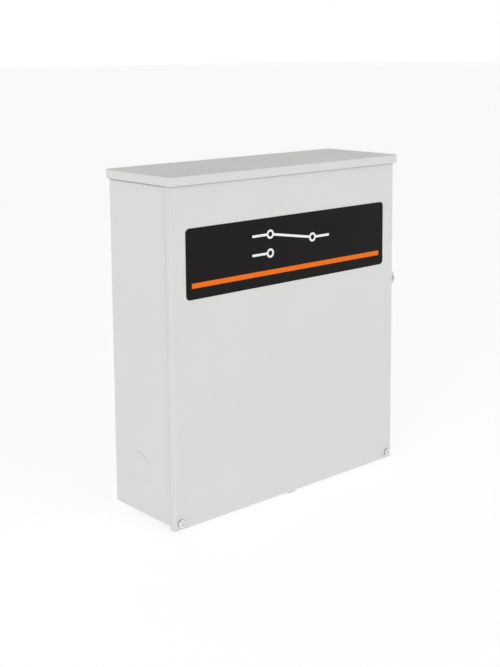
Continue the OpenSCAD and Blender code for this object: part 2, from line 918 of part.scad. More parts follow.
module load_terminal_block() {
  z0 = load_lug_z - lug_h / 2 - 4;
  z1 = load_lug_z + lug_h / 2 + 7.6;
  x0 = pole_x[0] - 34;
  x1 = pole_x[2] + 34;
  color([0.35, 0.12, 0.09]) {
    box([x0, base_front_y, z0], [x1, foot_y, z1]);
    for (x = [x0, pole_mid_x - pole_pitch / 2 - 2, pole_mid_x + pole_pitch / 2 - 2, x1 - 4])
      box([x, base_front_y - 38, z0], [x + 4, base_front_y, z1]);
  }
}

module each_lug() {
  for (p = lug_places) translate(p) children();
}

module power_lugs() {
  color("silver")
    each_lug() difference() {
      linear_extrude(lug_h, center = true) round_rect([-lug_w / 2, -lug_d], [lug_w / 2, 0], 3);
      rod_z([0, -lug_d / 2, -lug_h], lug_bore_r, 2 * lug_h);
      rod_y([0, -lug_d - 1, 0], 4.6, lug_d / 2);
    }
}

module lug_screws() {
  color("gray")
    each_lug() difference() {
      rod_y([0, -lug_d - 3.5, 0], 4.5, lug_d / 2 + 3.5 - lug_bore_r - 0.2);
      translate([0, -lug_d - 4, 0]) rotate([-90, 0, 0]) cylinder(r = 2.9, h = 5, $fn = 6);
    }
}

// Drilled bar with clamp screws, lying along X on two feet
module terminal_bar(z, lift) {
  bar_y = panel_y - lift;
  thick = 11;
  half = 7;
  screw_r = 3.6;
  at_x = [for (i = [1:bar_screws]) bar_x0 + (bar_x1 - bar_x0) * i / (bar_screws + 1)];
  difference() {
    box([bar_x0, bar_y - thick, z - half], [bar_x1, bar_y, z + half]);
    for (x = at_x) rod_z([x, bar_y - thick / 2, z - half - 1], 3, 2 * half + 2);
  }
  for (x = at_x)
    difference() {
      rod_y([x, bar_y - thick - 4, z], screw_r, 4);
      box([x - 4, bar_y - thick - 5, z - 0.5], [x + 4, bar_y - thick - 2.6, z + 0.5]);
    }
}
module bar_feet(z, lift, r) {
  for (x = [bar_x0 + bar_foot_inset, bar_x1 - bar_foot_inset]) rod_y([x, panel_y - lift, z], r, lift);
}

module neutral_bar() {
  color("silver") terminal_bar(neutral_z, neutral_lift);
  color("white") bar_feet(neutral_z, neutral_lift, 8);
}

module ground_bar() {
  color("silver") {
    terminal_bar(ground_z, ground_lift);
    bar_feet(ground_z, ground_lift, 6);
  }
}

// ---- Controls ----

module relay_socket() {
  front = panel_y - socket_t;
  color([0.13, 0.13, 0.14]) {
    box([control_x0, front, socket_z0], [control_x1, panel_y, socket_z1]);
    for (x = socket_screw_x, z = [socket_z0 + socket_screw_in, socket_z1 - socket_screw_in])
      rod_y([x, front - 1.5, z], socket_screw_r, 2);
  }
}
module control_relay() {
  front = panel_y - socket_t;
  color([0.8, 0.85, 0.88])
    box([control_x0 + 8, front - relay_d, socket_z0 + 15], [control_x1 - 8, front, socket_z1 - 15]);
}

// Three-way holder for cartridge fuses
module fuse_block() {
  wall = 4;
  front = panel_y - 12;
  color([0.13, 0.13, 0.14]) {
    box([control_x0, front, fuse_z0], [control_x1, panel_y, fuse_z1]);
    for (x = [for (i = [0:3]) control_x0 + i * fuse_pitch])
      box([x, front - 12, fuse_z0], [x + wall, front, fuse_z1]);
    for (x = fuse_x, z = [fuse_z0 + 10, fuse_z1 - 18])
      box([x - 4, fuse_y + fuse_cap_r, z], [x + 4, front, z + 8]);
  }
}
module fuses() {
  color("ivory")
    for (x = fuse_x) {
      rod_z([x, fuse_y, fuse_z0 + 11], 4.8, 38);
      for (z = [fuse_z0 + 9, fuse_z1 - 19]) rod_z([x, fuse_y, z], fuse_cap_r, 10);
    }
}

// Barrier strip with a screw on each side of every way
module terminal_strip() {
  wall = 3;
  front = panel_y - strip_t;
  color([0.13, 0.13, 0.14]) {
    box([strip_x0, front, strip_z0], [strip_x1, panel_y, strip_z0 + strip_pitch * strip_ways + wall]);
    for (z = [for (i = [0:strip_ways]) strip_z0 + i * strip_pitch])
      box([strip_x0 + 4, front - 8, z], [strip_x1 - 4, front, z + wall]);
  }
  color("silver")
    for (z = way_z, x = strip_screw_x) pan_screw([x, front - 0.2, z], strip_screw_r, 0.4);
}

// Straight runs of round wire with slightly fuller ball corners, through the given points
module wire(points, r) {
  ball_r = r + 0.05;
  for (i = [0:len(points) - 2]) {
    a = points[i];
    d = points[i + 1] - a;
    translate(a)
      rotate([0, acos(d[2] / norm(d)), atan2(d[1], d[0])]) cylinder(r = r, h = norm(d), $fn = 24);
  }
  for (p = points) translate(p) sphere(r = ball_r, $fn = 24);
}

// Three wires from the relay's upper screws, down beside the limit switches to the terminal strip
module control_wires() {
  clear = 0.1;
  spacing = 3.2;
  lane_x = switch_x + 13.5;
  lane_y = panel_y - 4;
  relay_y = panel_y - socket_t - wire_r - clear;
  relay_z = socket_z1 - socket_screw_in + socket_screw_r + wire_r + clear;
  strip_y = panel_y - strip_t - wire_r - 0.3;
  strip_end = strip_screw_x[0] - 1.9 * strip_screw_r - wire_r - clear;
  color("royalblue")
    for (i = [0:2]) {
      x = lane_x + i * spacing;
      top = socket_z1 + 6 + i * (spacing + 0.2);
      wire([[socket_screw_x[i], relay_y, relay_z], [socket_screw_x[i], relay_y, top], [x, relay_y, top],
            [x, lane_y, top], [x, lane_y, way_z[i]], [x, strip_y, way_z[i]], [strip_end, strip_y, way_z[i]]], wire_r);
    }
}

enclosure_body();
bottom_panel();
rain_cap();
knockouts();
padlock_bracket();
cover_screw_nuts();
cover_gasket();
front_cover();
name_label();
label_symbol();
label_stripe();
wiring_card();
left_cover_screw();
left_screw_washer();
right_cover_screw();
right_screw_washer();
sub_panel();
panel_studs();
panel_nuts();
insulating_sheet();
mechanism_base();
phase_barriers();
side_plates();
shaft_bushes();
mechanism_screws();
utility_contacts();
standby_contacts();
load_contacts();
fixed_contact_tips();
arc_chutes();
arc_plates();
rotor_shaft();
contact_carriers();
moving_blades();
moving_contact_tips();
lever_arm();
lever_grip();
crank_fork();
crank_pin();
toggle_spring();
spring_post();
solenoid_frames();
solenoid_bobbins();
solenoid_windings();
armature_link();
armature_plungers();
limit_switches();
upper_switch_button();
lower_switch_button();
load_terminal_block();
power_lugs();
lug_screws();
neutral_bar();
ground_bar();
relay_socket();
control_relay();
fuse_block();
fuses();
terminal_strip();
control_wires();
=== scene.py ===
"""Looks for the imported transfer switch: materials, fine pieces, studio and camera, all in metres."""
import json
import math

import bmesh
import bpy
from mathutils import Matrix, Vector
from mathutils.geometry import tessellate_polygon


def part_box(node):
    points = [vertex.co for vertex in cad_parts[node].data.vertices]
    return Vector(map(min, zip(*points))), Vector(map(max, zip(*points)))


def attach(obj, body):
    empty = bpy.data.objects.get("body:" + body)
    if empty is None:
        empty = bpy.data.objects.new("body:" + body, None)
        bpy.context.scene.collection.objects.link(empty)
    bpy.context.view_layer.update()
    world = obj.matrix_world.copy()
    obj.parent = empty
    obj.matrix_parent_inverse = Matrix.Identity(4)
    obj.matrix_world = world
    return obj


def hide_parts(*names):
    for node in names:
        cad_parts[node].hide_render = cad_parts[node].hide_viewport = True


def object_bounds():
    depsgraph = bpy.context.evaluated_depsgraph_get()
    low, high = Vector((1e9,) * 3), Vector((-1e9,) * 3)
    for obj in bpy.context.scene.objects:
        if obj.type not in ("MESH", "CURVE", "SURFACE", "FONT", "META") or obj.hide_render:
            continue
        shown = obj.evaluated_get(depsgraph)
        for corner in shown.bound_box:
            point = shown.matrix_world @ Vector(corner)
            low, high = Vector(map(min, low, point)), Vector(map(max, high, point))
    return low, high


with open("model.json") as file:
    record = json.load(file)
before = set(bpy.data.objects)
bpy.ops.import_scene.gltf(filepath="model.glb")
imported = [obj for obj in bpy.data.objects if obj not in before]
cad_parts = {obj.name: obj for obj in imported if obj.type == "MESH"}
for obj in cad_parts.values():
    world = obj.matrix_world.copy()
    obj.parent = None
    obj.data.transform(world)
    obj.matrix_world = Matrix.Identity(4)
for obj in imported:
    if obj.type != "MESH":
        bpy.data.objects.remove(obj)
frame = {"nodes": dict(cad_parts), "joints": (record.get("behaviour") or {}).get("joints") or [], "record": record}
cad_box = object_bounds()

MM = 0.001
X, Y, Z = Vector((1, 0, 0)), Vector((0, 1, 0)), Vector((0, 0, 1))
JOINTS = {joint["name"]: joint for joint in frame["joints"]}
REST = -math.radians(JOINTS["rotor_turn"]["range_deg"][1] / 2)
STRIP_PITCH, STRIP_WAYS = 14, 9


# ---- Camera ----

def make_camera():
    """The picture's view: from the front left and slightly above, with a small upward crop."""
    yaw, pitch, roll = (math.radians(a) for a in (41.19, 7.83, -0.44))
    forward = Vector((math.sin(yaw) * math.cos(pitch), math.cos(yaw) * math.cos(pitch), -math.sin(pitch)))
    level = Vector((math.cos(yaw), -math.sin(yaw), 0))
    rise = level.cross(forward)
    right = math.cos(roll) * level + math.sin(roll) * rise
    up = math.cos(roll) * rise - math.sin(roll) * level
    data = bpy.data.cameras.new("camera")
    data.sensor_width = 36
    data.lens = 61.83
    data.shift_y = -0.195
    camera = bpy.data.objects.new("camera", data)
    camera.matrix_world = Matrix((right, up, -forward)).transposed().to_4x4()
    camera.location = (-1.3957, -1.66, 0.5121)
    bpy.context.scene.collection.objects.link(camera)
    bpy.context.scene.camera = camera


# ---- Materials ----

def add(tree, kind, sockets=None, **settings):
    """A node with its settings; a socket's value is a number, a colour or another node's output."""
    node = tree.nodes.new(kind)
    for key, value in settings.items():
        setattr(node, key, value)
    for key, value in (sockets or {}).items():
        if isinstance(value, bpy.types.NodeSocket):
            tree.links.new(value, node.inputs[key])
        else:
            node.inputs[key].default_value = value
    return node


def noise(tree, where, scale, detail=3.0, rough=0.5, stretch=None):
    """Noise at a scale in features per metre, stretched along an axis if asked."""
    if stretch:
        where = add(tree, "ShaderNodeMapping", {"Vector": where, "Scale": stretch}).outputs[0]
    sockets = {"Vector": where, "Scale": scale, "Detail": detail, "Roughness": rough}
    return add(tree, "ShaderNodeTexNoise", sockets).outputs["Fac"]


def spread(tree, value, low, high, start=0.3, end=0.7):
    """The value's middle range mapped to low..high."""
    sockets = {"Value": value, "From Min": start, "From Max": end, "To Min": low, "To Max": high}
    return add(tree, "ShaderNodeMapRange", sockets).outputs[0]


def mix(tree, factor, first, second):
    sockets = {"Factor": factor, 6: first, 7: second}
    return add(tree, "ShaderNodeMix", sockets, data_type="RGBA").outputs[2]


def combine(tree, operation, first, second):
    return add(tree, "ShaderNodeMath", {0: first, 1: second}, operation=operation).outputs[0]


def shade(color, factor):
    return tuple(min(1.0, c * factor) for c in color[:3]) + (1.0,)


def surface(name, color, rough, metal=0.0, vary=0.06, mottle=18.0, grain=900.0, bump=0.15, depth=0.08,
            stretch=None, edge=0.0, edge_color=None, edge_radius=0.7, rough_vary=0.06, coat=0.0, spec=0.5,
            speck=0.0, speck_color=None):
    """A finish with drifting colour and roughness, a fine grain, and edges tinted towards edge_color, lighter by
    default: partly wear, partly a painted highlight.
    """
    mat = bpy.data.materials.new(name)
    mat.use_nodes = True
    tree = mat.node_tree
    tree.nodes.clear()
    bsdf = tree.nodes.new("ShaderNodeBsdfPrincipled")
    out = tree.nodes.new("ShaderNodeOutputMaterial")
    tree.links.new(bsdf.outputs[0], out.inputs[0])
    where = add(tree, "ShaderNodeTexCoord").outputs["Object"]
    drift = noise(tree, where, mottle, 4.0, 0.6)
    paint = mix(tree, spread(tree, drift, 0, 1), shade(color, 1 - vary), shade(color, 1 + vary))
    fine = noise(tree, where, grain, 2.0, 0.5, stretch)
    if speck:
        spots = noise(tree, where, grain * 0.8, 1.0)
        paint = mix(tree, spread(tree, spots, 0, speck, 0.6, 0.72), paint, shade(speck_color, 1))
    rounded = add(tree, "ShaderNodeBevel", {"Radius": edge_radius * MM}, samples=4).outputs[0]
    # Edge tint: partly wear, partly a painted highlight along the rounded edges
    if edge:
        flat = add(tree, "ShaderNodeNewGeometry").outputs["Normal"]
        along = add(tree, "ShaderNodeVectorMath", {0: rounded, 1: flat},
                    operation="DOT_PRODUCT").outputs["Value"]
        wear_and_highlight_noise = noise(tree, where, mottle * 9, 3.0, 0.7)
        wear_and_highlight = combine(tree, "MULTIPLY", spread(tree, along, 1, 0, 0.82, 0.98), spread(tree, wear_and_highlight_noise, 0, edge))
        paint = mix(tree, wear_and_highlight, paint, shade(edge_color or shade(color, 1.5), 1))
    tree.links.new(paint, bsdf.inputs["Base Color"])
    patch = noise(tree, where, mottle * 2.3, 5.0, 0.65)
    tree.links.new(spread(tree, patch, rough - rough_vary, rough + rough_vary), bsdf.inputs["Roughness"])
    sockets = {"Strength": bump, "Distance": depth * MM, "Height": fine, "Normal": rounded}
    relief = add(tree, "ShaderNodeBump", sockets)
    tree.links.new(relief.outputs[0], bsdf.inputs["Normal"])
    bsdf.inputs["Metallic"].default_value = metal
    bsdf.inputs["Coat Weight"].default_value = coat
    bsdf.inputs["Specular IOR Level"].default_value = spec
    return mat


def clear(name, color, rough, ior=1.49):
    """A clear or tinted moulding."""
    mat = surface(name, color, rough, vary=0.02, bump=0.0, rough_vary=0.02)
    bsdf = mat.node_tree.nodes["Principled BSDF"]
    bsdf.inputs["Transmission Weight"].default_value = 0.92
    bsdf.inputs["IOR"].default_value = ior
    return mat


def spangle(name, color):
    """Hot-dip galvanised sheet: large crystal cells that differ in tone and gloss."""
    mat = surface(name, color, 0.36, metal=1.0, vary=0.05, grain=700, bump=0.08, edge=0.4)
    tree = mat.node_tree
    bsdf = tree.nodes["Principled BSDF"]
    where = add(tree, "ShaderNodeTexCoord").outputs["Object"]
    sockets = {"Vector": where, "Scale": 75.0, "Randomness": 1.0}
    cells = add(tree, "ShaderNodeTexVoronoi", sockets).outputs["Color"]
    tone = add(tree, "ShaderNodeSeparateColor", {"Color": cells}).outputs
    base = bsdf.inputs["Base Color"].links[0].from_socket
    dark = mix(tree, 1.0, base, shade(color, 0.72))
    tree.links.new(mix(tree, tone[0], base, dark), bsdf.inputs["Base Color"])
    tree.links.new(spread(tree, tone[1], 0.26, 0.46, 0, 1), bsdf.inputs["Roughness"])
    return mat


def painted_shade_coat(name, base, amount, reach, seam=0.0):
    """The powder coat with painted shade under the cap's lip and, by share seam, behind the cover's edge.

    amount is the share just under the lip and reach how far down it fades, in millimetres.
    """
    mat = base.copy()
    mat.name = name
    tree = mat.node_tree
    bsdf = tree.nodes["Principled BSDF"]
    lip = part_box("rain_cap")[0].z
    # Just behind the cover's edge, where the painted shade along the seam begins to fade
    seam_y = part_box("front_cover")[0].y + 15.5 * MM
    where = add(tree, "ShaderNodeTexCoord").outputs["Object"]
    axes = add(tree, "ShaderNodeSeparateXYZ", {"Vector": where}).outputs
    patchy = noise(tree, where, 60.0, 3.0, 0.6, (1, 1, 0.2))
    # Painted shade masks: a band fading down from under the cap's lip, and a band behind the cover's edge
    under_lip = spread(tree, axes["Z"], 0, amount, lip - reach * MM, lip - 0.5 * MM)
    behind_edge = spread(tree, axes["Y"], seam, 0, seam_y, seam_y + 4 * MM)
    off_the_back = spread(tree, axes["Y"], 1, 0, -4 * MM, -2 * MM)
    under_lip = combine(tree, "MULTIPLY", under_lip, off_the_back)
    share = combine(tree, "MAXIMUM", under_lip, behind_edge)
    share = combine(tree, "MULTIPLY", share, spread(tree, patchy, 0.85, 1.0))
    paint = bsdf.inputs["Base Color"].links[0].from_socket
    # Painted shade: the masked bands are mixed towards a dark grey
    tree.links.new(mix(tree, share, paint, (0.13, 0.13, 0.125, 1)), bsdf.inputs["Base Color"])
    return mat


COPPER = (0.62, 0.285, 0.165)
STEEL = (0.56, 0.56, 0.57)
# In each finish, edge and edge_color set the edge tint: partly wear, partly a painted highlight
MATERIALS = {
    "powder_coat": surface("powder_coat", (0.70, 0.70, 0.685), 0.42, vary=0.012, mottle=5, grain=620,
                           bump=0.22, depth=0.10, edge=0.25, edge_color=(0.80, 0.80, 0.79),
                           edge_radius=0.6, rough_vary=0.04),
    "label_black": surface("label_black", (0.0075, 0.0062, 0.0066), 0.42, spec=0.10, vary=0.10, mottle=9,
                           grain=500, bump=0.10, depth=0.06, edge=0.5, edge_color=(0.03, 0.03, 0.03),
                           rough_vary=0.05),
    "label_white": surface("label_white", (0.90, 0.90, 0.89), 0.42, spec=0.10, vary=0.01, grain=500,
                           bump=0.05),
    "label_orange": surface("label_orange", (0.87, 0.165, 0.008), 0.42, spec=0.10, vary=0.02, grain=500,
                            bump=0.05),
    "card": surface("card", (0.80, 0.79, 0.73), 0.62, vary=0.03, mottle=30, grain=2500, bump=0.2,
                    depth=0.03),
    "zinc": surface("zinc", (0.80, 0.80, 0.78), 0.24, metal=1, vary=0.08, mottle=60, grain=1500, bump=0.12,
                    edge=0.5, edge_color=(0.85, 0.85, 0.83), edge_radius=0.3, rough_vary=0.08),
    "galvanised": spangle("galvanised", (0.60, 0.61, 0.62)),
    "steel": surface("steel", STEEL, 0.26, metal=1, vary=0.05, mottle=40, grain=900, bump=0.2, depth=0.03,
                     stretch=(6, 1, 1), edge=0.3, edge_radius=0.3),
    "dark_steel": surface("dark_steel", (0.13, 0.13, 0.135), 0.48, metal=0.85, vary=0.15, mottle=45,
                          grain=1400, bump=0.2, edge=0.7, edge_color=(0.40, 0.40, 0.40), edge_radius=0.5),
    "aluminium": surface("aluminium", (0.76, 0.77, 0.78), 0.32, metal=1, vary=0.05, mottle=35, grain=700,
                         bump=0.2, depth=0.04, stretch=(1, 1, 0.05), edge=0.4, edge_radius=0.4),
    "copper": surface("copper", COPPER, 0.33, metal=1, vary=0.10, mottle=16, grain=800, bump=0.10,
                      depth=0.02, stretch=(1, 1, 0.08), edge=0.4, edge_color=(0.86, 0.50, 0.34),
                      edge_radius=0.4, rough_vary=0.05),
    "silver": surface("silver", (0.86, 0.85, 0.82), 0.24, metal=1, vary=0.10, mottle=140, grain=1500,
                      bump=0.15, edge=0.4, edge_radius=0.3, rough_vary=0.10),
    "bronze": surface("bronze", (0.56, 0.38, 0.17), 0.42, metal=1, vary=0.12, mottle=80, grain=2200,
                      bump=0.35, speck=0.5, speck_color=(0.25, 0.16, 0.07)),
    "rubber": surface("rubber", (0.022, 0.022, 0.023), 0.62, vary=0.15, grain=1200, bump=0.3, spec=0.35),
    "foam": surface("foam", (0.045, 0.045, 0.047), 0.85, vary=0.2, mottle=120, grain=1600, bump=0.9,
                    depth=0.3, spec=0.2),
    "moulding_brown": surface("moulding_brown", (0.13, 0.036, 0.022), 0.34, vary=0.10, mottle=28,
                              grain=1400, bump=0.12, edge=0.35, edge_color=(0.30, 0.12, 0.08), speck=0.25,
                              speck_color=(0.20, 0.08, 0.05)),
    "moulding_black": surface("moulding_black", (0.020, 0.020, 0.022), 0.40, vary=0.12, mottle=30,
                              grain=1500, bump=0.2, edge=0.35, edge_color=(0.09, 0.09, 0.09)),
    "moulding_cream": surface("moulding_cream", (0.60, 0.56, 0.44), 0.48, vary=0.06, mottle=35, grain=1100,
                              bump=0.25, edge=0.3, speck=0.35, speck_color=(0.42, 0.37, 0.27)),
    "fibre": surface("fibre", (0.30, 0.19, 0.10), 0.55, vary=0.10, mottle=14, grain=600, bump=0.2,
                     stretch=(1, 1, 0.1), speck=0.2, speck_color=(0.18, 0.10, 0.05)),
    "nylon": surface("nylon", (0.76, 0.74, 0.65), 0.36, vary=0.03, grain=900, bump=0.08, coat=0.1),
    "red_plastic": surface("red_plastic", (0.46, 0.022, 0.016), 0.30, vary=0.06, mottle=25, grain=900,
                           bump=0.15, coat=0.2, edge=0.25, edge_color=(0.62, 0.10, 0.08)),
    "winding": surface("winding", (0.38, 0.095, 0.035), 0.22, metal=0.55, vary=0.14, mottle=90, grain=900,
                       bump=0.1, coat=0.5),
    "smoke_plastic": clear("smoke_plastic", (0.62, 0.66, 0.68), 0.08),
    "glass_tube": clear("glass_tube", (0.93, 0.95, 0.94), 0.03, 1.5),
    "wire_blue": surface("wire_blue", (0.02, 0.07, 0.36), 0.36, vary=0.05, grain=1500, bump=0.1, coat=0.1),
}
# Finishes for fine pieces that share a node's slot
EXTRA = {
    "print_black": surface("print_black", (0.02, 0.02, 0.022), 0.5, vary=0.03, bump=0.05),
    "wire_red": surface("wire_red", (0.42, 0.015, 0.012), 0.36, vary=0.05, grain=1500, bump=0.1, coat=0.1),
    "wire_yellow": surface("wire_yellow", (0.70, 0.42, 0.02), 0.36, vary=0.05, grain=1500, bump=0.1,
                           coat=0.1),
    "green_screw": surface("green_screw", (0.03, 0.24, 0.07), 0.32, metal=0.4, vary=0.08, grain=1200,
                           bump=0.15, edge=0.5, edge_color=(0.5, 0.55, 0.5), edge_radius=0.3),
    "tape": surface("tape", (0.62, 0.50, 0.22), 0.45, vary=0.05, mottle=60, grain=1800, bump=0.3),
    "tin": surface("tin", (0.74, 0.70, 0.60), 0.30, metal=1, vary=0.08, mottle=80, edge=0.4),
}


# ---- Mesh building ----

class Piece:
    """One visible piece, gathered from closed solids in the row's frame, in metres."""

    def __init__(self, name):
        self.name = name
        self.bm = bmesh.new()

    def block(self, low, high, bevel=0.3, segments=2):
        """A box between two corners with rounded edges; the bevel is in millimetres."""
        low, high = Vector(low), Vector(high)
        made = bmesh.ops.create_cube(self.bm, size=1.0)["verts"]
        for vert in made:
            vert.co = [low[i] if vert.co[i] < 0 else high[i] for i in range(3)]
        if bevel:
            width = min(bevel * MM, min(high - low) * 0.45)
            edges = list({edge for vert in made for edge in vert.link_edges})
            bmesh.ops.bevel(self.bm, geom=edges, offset=width, segments=segments, affect="EDGES", profile=0.5)
        return self

    def lathe(self, profile, at, along, sides=40, turn=0.0):
        """Revolves (radius, height) points, in millimetres, about the direction along, from the point at."""
        at, along = Vector(at), Vector(along).normalized()
        side = along.orthogonal().normalized()
        other = along.cross(side)
        rings = []
        for radius, height in profile:
            middle = at + along * (height * MM)
            if radius < 1e-6:
                rings.append([self.bm.verts.new(middle)])
                continue
            angles = [turn + math.tau * i / sides for i in range(sides)]
            rings.append([self.bm.verts.new(middle + (side * math.cos(a) + other * math.sin(a)) * radius * MM)
                          for a in angles])
        loops = list(zip(rings, rings[1:]))
        if len(rings[0]) > 1 and len(rings[-1]) > 1:
            loops.append((rings[-1], rings[0]))
        for first, second in loops:
            for i in range(sides):
                j = (i + 1) % sides
                corners = [first[i % len(first)], first[j % len(first)],
                           second[j % len(second)], second[i % len(second)]]
                unique = list(dict.fromkeys(corners))
                if len(unique) > 2:
                    self.bm.faces.new(unique)
        return self

    def rod(self, start, end, radius, bevel=0.2, sides=32):
        """A round bar between two points; radius and bevel in millimetres."""
        start, end = Vector(start), Vector(end)
        length = (end - start).length / MM
        bevel = min(bevel, radius * 0.45, length * 0.45)
        profile = [(0, 0), (radius - bevel, 0), (radius, bevel), (radius, length - bevel),
                   (radius - bevel, length), (0, length)]
        return self.lathe(profile, start, end - start, sides)

    def sweep(self, points, radius, sides=10, closed=False):
        """A tube of round section through the points, with flat ends; the radius is in millimetres."""
        points = [Vector(p) for p in points]
        count = len(points)
        rings = []
        frame_side = None
        for i, point in enumerate(points):
            before = points[i - 1] if i or closed else points[0]
            after = points[(i + 1) % count] if i < count - 1 or closed else points[-1]
            ahead = (after - before).normalized()
            if frame_side is None:
                frame_side = ahead.orthogonal().normalized()
            frame_side = (frame_side - ahead * frame_side.dot(ahead)).normalized()
            other = ahead.cross(frame_side)
            angles = [math.tau * k / sides for k in range(sides)]
            around = [(frame_side * math.cos(a) + other * math.sin(a)) * radius * MM for a in angles]
            rings.append([self.bm.verts.new(point + offset) for offset in around])
        pairs = list(zip(rings, rings[1:])) + ([(rings[-1], rings[0])] if closed else [])
        for first, second in pairs:
            for k in range(sides):
                n = (k + 1) % sides
                self.bm.faces.new((first[k], first[n], second[n], second[k]))
        if not closed:
            self.bm.faces.new(rings[0])
            self.bm.faces.new(rings[-1])
        return self

    def ring(self, outline, at, side, other):
        """A loop of points for an outline in millimetres."""
        return [self.bm.verts.new(at + (side * a + other * b) * MM) for a, b in outline]

    def walls(self, first, second):
        for i in range(len(first)):
            j = (i + 1) % len(first)
            self.bm.faces.new((first[i], first[j], second[j], second[i]))

    def cap(self, *rings):
        """Closes a loop, with the other loops as its holes."""
        normal = (rings[0][1].co - rings[0][0].co).cross(rings[0][2].co - rings[0][1].co)
        points = [[vert.co for vert in ring] for ring in rings]
        verts = [vert for ring in rings for vert in ring]
        if len(rings) == 1 and normal.length > 0 and len(verts) < 9:
            self.bm.faces.new(verts)
            return
        for corners in tessellate_polygon(points):
            self.bm.faces.new([verts[i] for i in corners])

    def soften(self, ring, bevel):
        """Rounds the edges of one loop."""
        if bevel:
            edges = [self.bm.edges.get((ring[i - 1], ring[i])) for i in range(len(ring))]
            bmesh.ops.bevel(self.bm, geom=[e for e in edges if e], offset=bevel * MM, segments=3,
                            affect="EDGES", profile=0.5)

    def slab(self, outlines, at, along, thickness, side=None, bevel=0.0):
        """An outline and its holes, in millimetres, pulled along a direction by a thickness."""
        at, along = Vector(at), Vector(along).normalized()
        side = Vector(side).normalized() if side else along.orthogonal().normalized()
        other = along.cross(side)
        low = [self.ring(outline, at, side, other) for outline in outlines]
        high = [self.ring(outline, at + along * (thickness * MM), side, other) for outline in outlines]
        self.cap(*low)
        self.cap(*high)
        for first, second in zip(low, high):
            self.walls(first, second)
        self.soften(high[0], bevel)
        return self

    def cup(self, outline, hollow, at, along, height, depth, side=None, bevel=0.0):
        """A solid outline with a blind hollow sunk into its far end, all in millimetres."""
        at, along = Vector(at), Vector(along).normalized()
        side = Vector(side).normalized() if side else along.orthogonal().normalized()
        other = along.cross(side)
        base = self.ring(outline, at, side, other)
        top = self.ring(outline, at + along * (height * MM), side, other)
        mouth = self.ring(hollow, at + along * (height * MM), side, other)
        floor = self.ring(hollow, at + along * ((height - depth) * MM), side, other)
        self.cap(base)
        self.walls(base, top)
        self.cap(top, mouth)
        self.walls(mouth, floor)
        self.cap(floor)
        self.soften(top, bevel)
        return self

    def done(self, body, slot, material=None, replaces=(), angle=38):
        """Makes the object, shades it smooth below the angle, and rides it on its body."""
        bmesh.ops.recalc_face_normals(self.bm, faces=self.bm.faces)
        mesh = bpy.data.meshes.new(self.name)
        self.bm.to_mesh(mesh)
        self.bm.free()
        piece = bpy.data.objects.new(self.name, mesh)
        bpy.context.scene.collection.objects.link(piece)
        for polygon in mesh.polygons:
            polygon.use_smooth = True
        mesh.set_sharp_from_angle(angle=math.radians(angle))
        mesh.materials.append(material or MATERIALS[slot])
        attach(piece, body)
        if replaces:
            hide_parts(*replaces)
        return piece


def smooth_path(points, steps=8):
    """A Catmull-Rom curve through the points."""
    points = [Vector(p) for p in points]
    ends = [2 * points[0] - points[1]] + points + [2 * points[-1] - points[-2]]
    path = []
    for a, b, c, d in zip(ends, ends[1:], ends[2:], ends[3:]):
        for k in range(steps):
            t = k / steps
            path.append(0.5 * (2 * b + (c - a) * t + (2 * a - 5 * b + 4 * c - d) * t * t
                               + (3 * b - a - 3 * c + d) * t ** 3))
    return path + [points[-1]]


def bent_path(points, bend, steps=7):
    """Straight runs through the points, each corner rounded over a length of bend millimetres."""
    points = [Vector(p) for p in points]
    path = [points[0]]
    for before, corner, after in zip(points, points[1:], points[2:]):
        back, ahead = before - corner, after - corner
        reach = min(bend * MM, back.length * 0.48, ahead.length * 0.48)
        start, end = corner + back.normalized() * reach, corner + ahead.normalized() * reach
        for k in range(steps + 1):
            t = k / steps
            path.append(start * (1 - t) ** 2 + corner * (2 * t * (1 - t)) + end * t * t)
    return path + [points[-1]]


def thread_path(at, start, pitch, steps, count, radius):
    """A helix about the Y axis from start millimetres past the point, in steps per turn."""
    path = []
    for k in range(count):
        a = math.tau * k / steps
        path.append(at + Y * ((start + pitch * k / steps) * MM)
                    + (X * math.cos(a) + Z * math.sin(a)) * (radius * MM))
    return path


def circle(radius, sides=32, x=0.0):
    return [(x + radius * math.cos(math.tau * i / sides), radius * math.sin(math.tau * i / sides))
            for i in range(sides)]


def cross(reach, half, turn=0.0):
    """The outline of a cross recess."""
    r, h = reach, half
    points = [(-h, r), (h, r), (h, h), (r, h), (r, -h), (h, -h), (h, -r), (-h, -r), (-h, -h), (-r, -h),
              (-r, h), (-h, h)]
    c, s = math.cos(turn), math.sin(turn)
    return [(a * c - b * s, a * s + b * c) for a, b in points]


def oblong(width, height, radius=0.0, steps=5):
    """A rectangle about the origin with round corners."""
    if not radius:
        return [(-width / 2, -height / 2), (width / 2, -height / 2), (width / 2, height / 2),
                (-width / 2, height / 2)]
    points = []
    for quarter, (sx, sy) in enumerate(((1, -1), (1, 1), (-1, 1), (-1, -1))):
        for k in range(steps + 1):
            a = math.radians(-90 + 90 * quarter + 90 * k / steps)
            points.append((sx * (width / 2 - radius) + radius * math.cos(a),
                           sy * (height / 2 - radius) + radius * math.sin(a)))
    return points


def pan_head(piece, at, out, radius, height, turn=0.3):
    """A pan head with a cross recess, its seat at the point, its face towards out."""
    return piece.cup(circle(radius, 28), cross(radius * 0.56, radius * 0.14, turn), at, out, height,
                     height * 0.6, bevel=min(height * 0.42, radius * 0.3))


def hex_head(piece, at, out, radius, height, turn=0.0):
    """A chamfered hexagon with its seat at the point."""
    r, h = radius, height
    return piece.lathe([(0, 0), (r, 0), (r, h * 0.8), (r * 0.88, h), (0, h)], at, out, 6, turn)


# ---- Cover screws ----

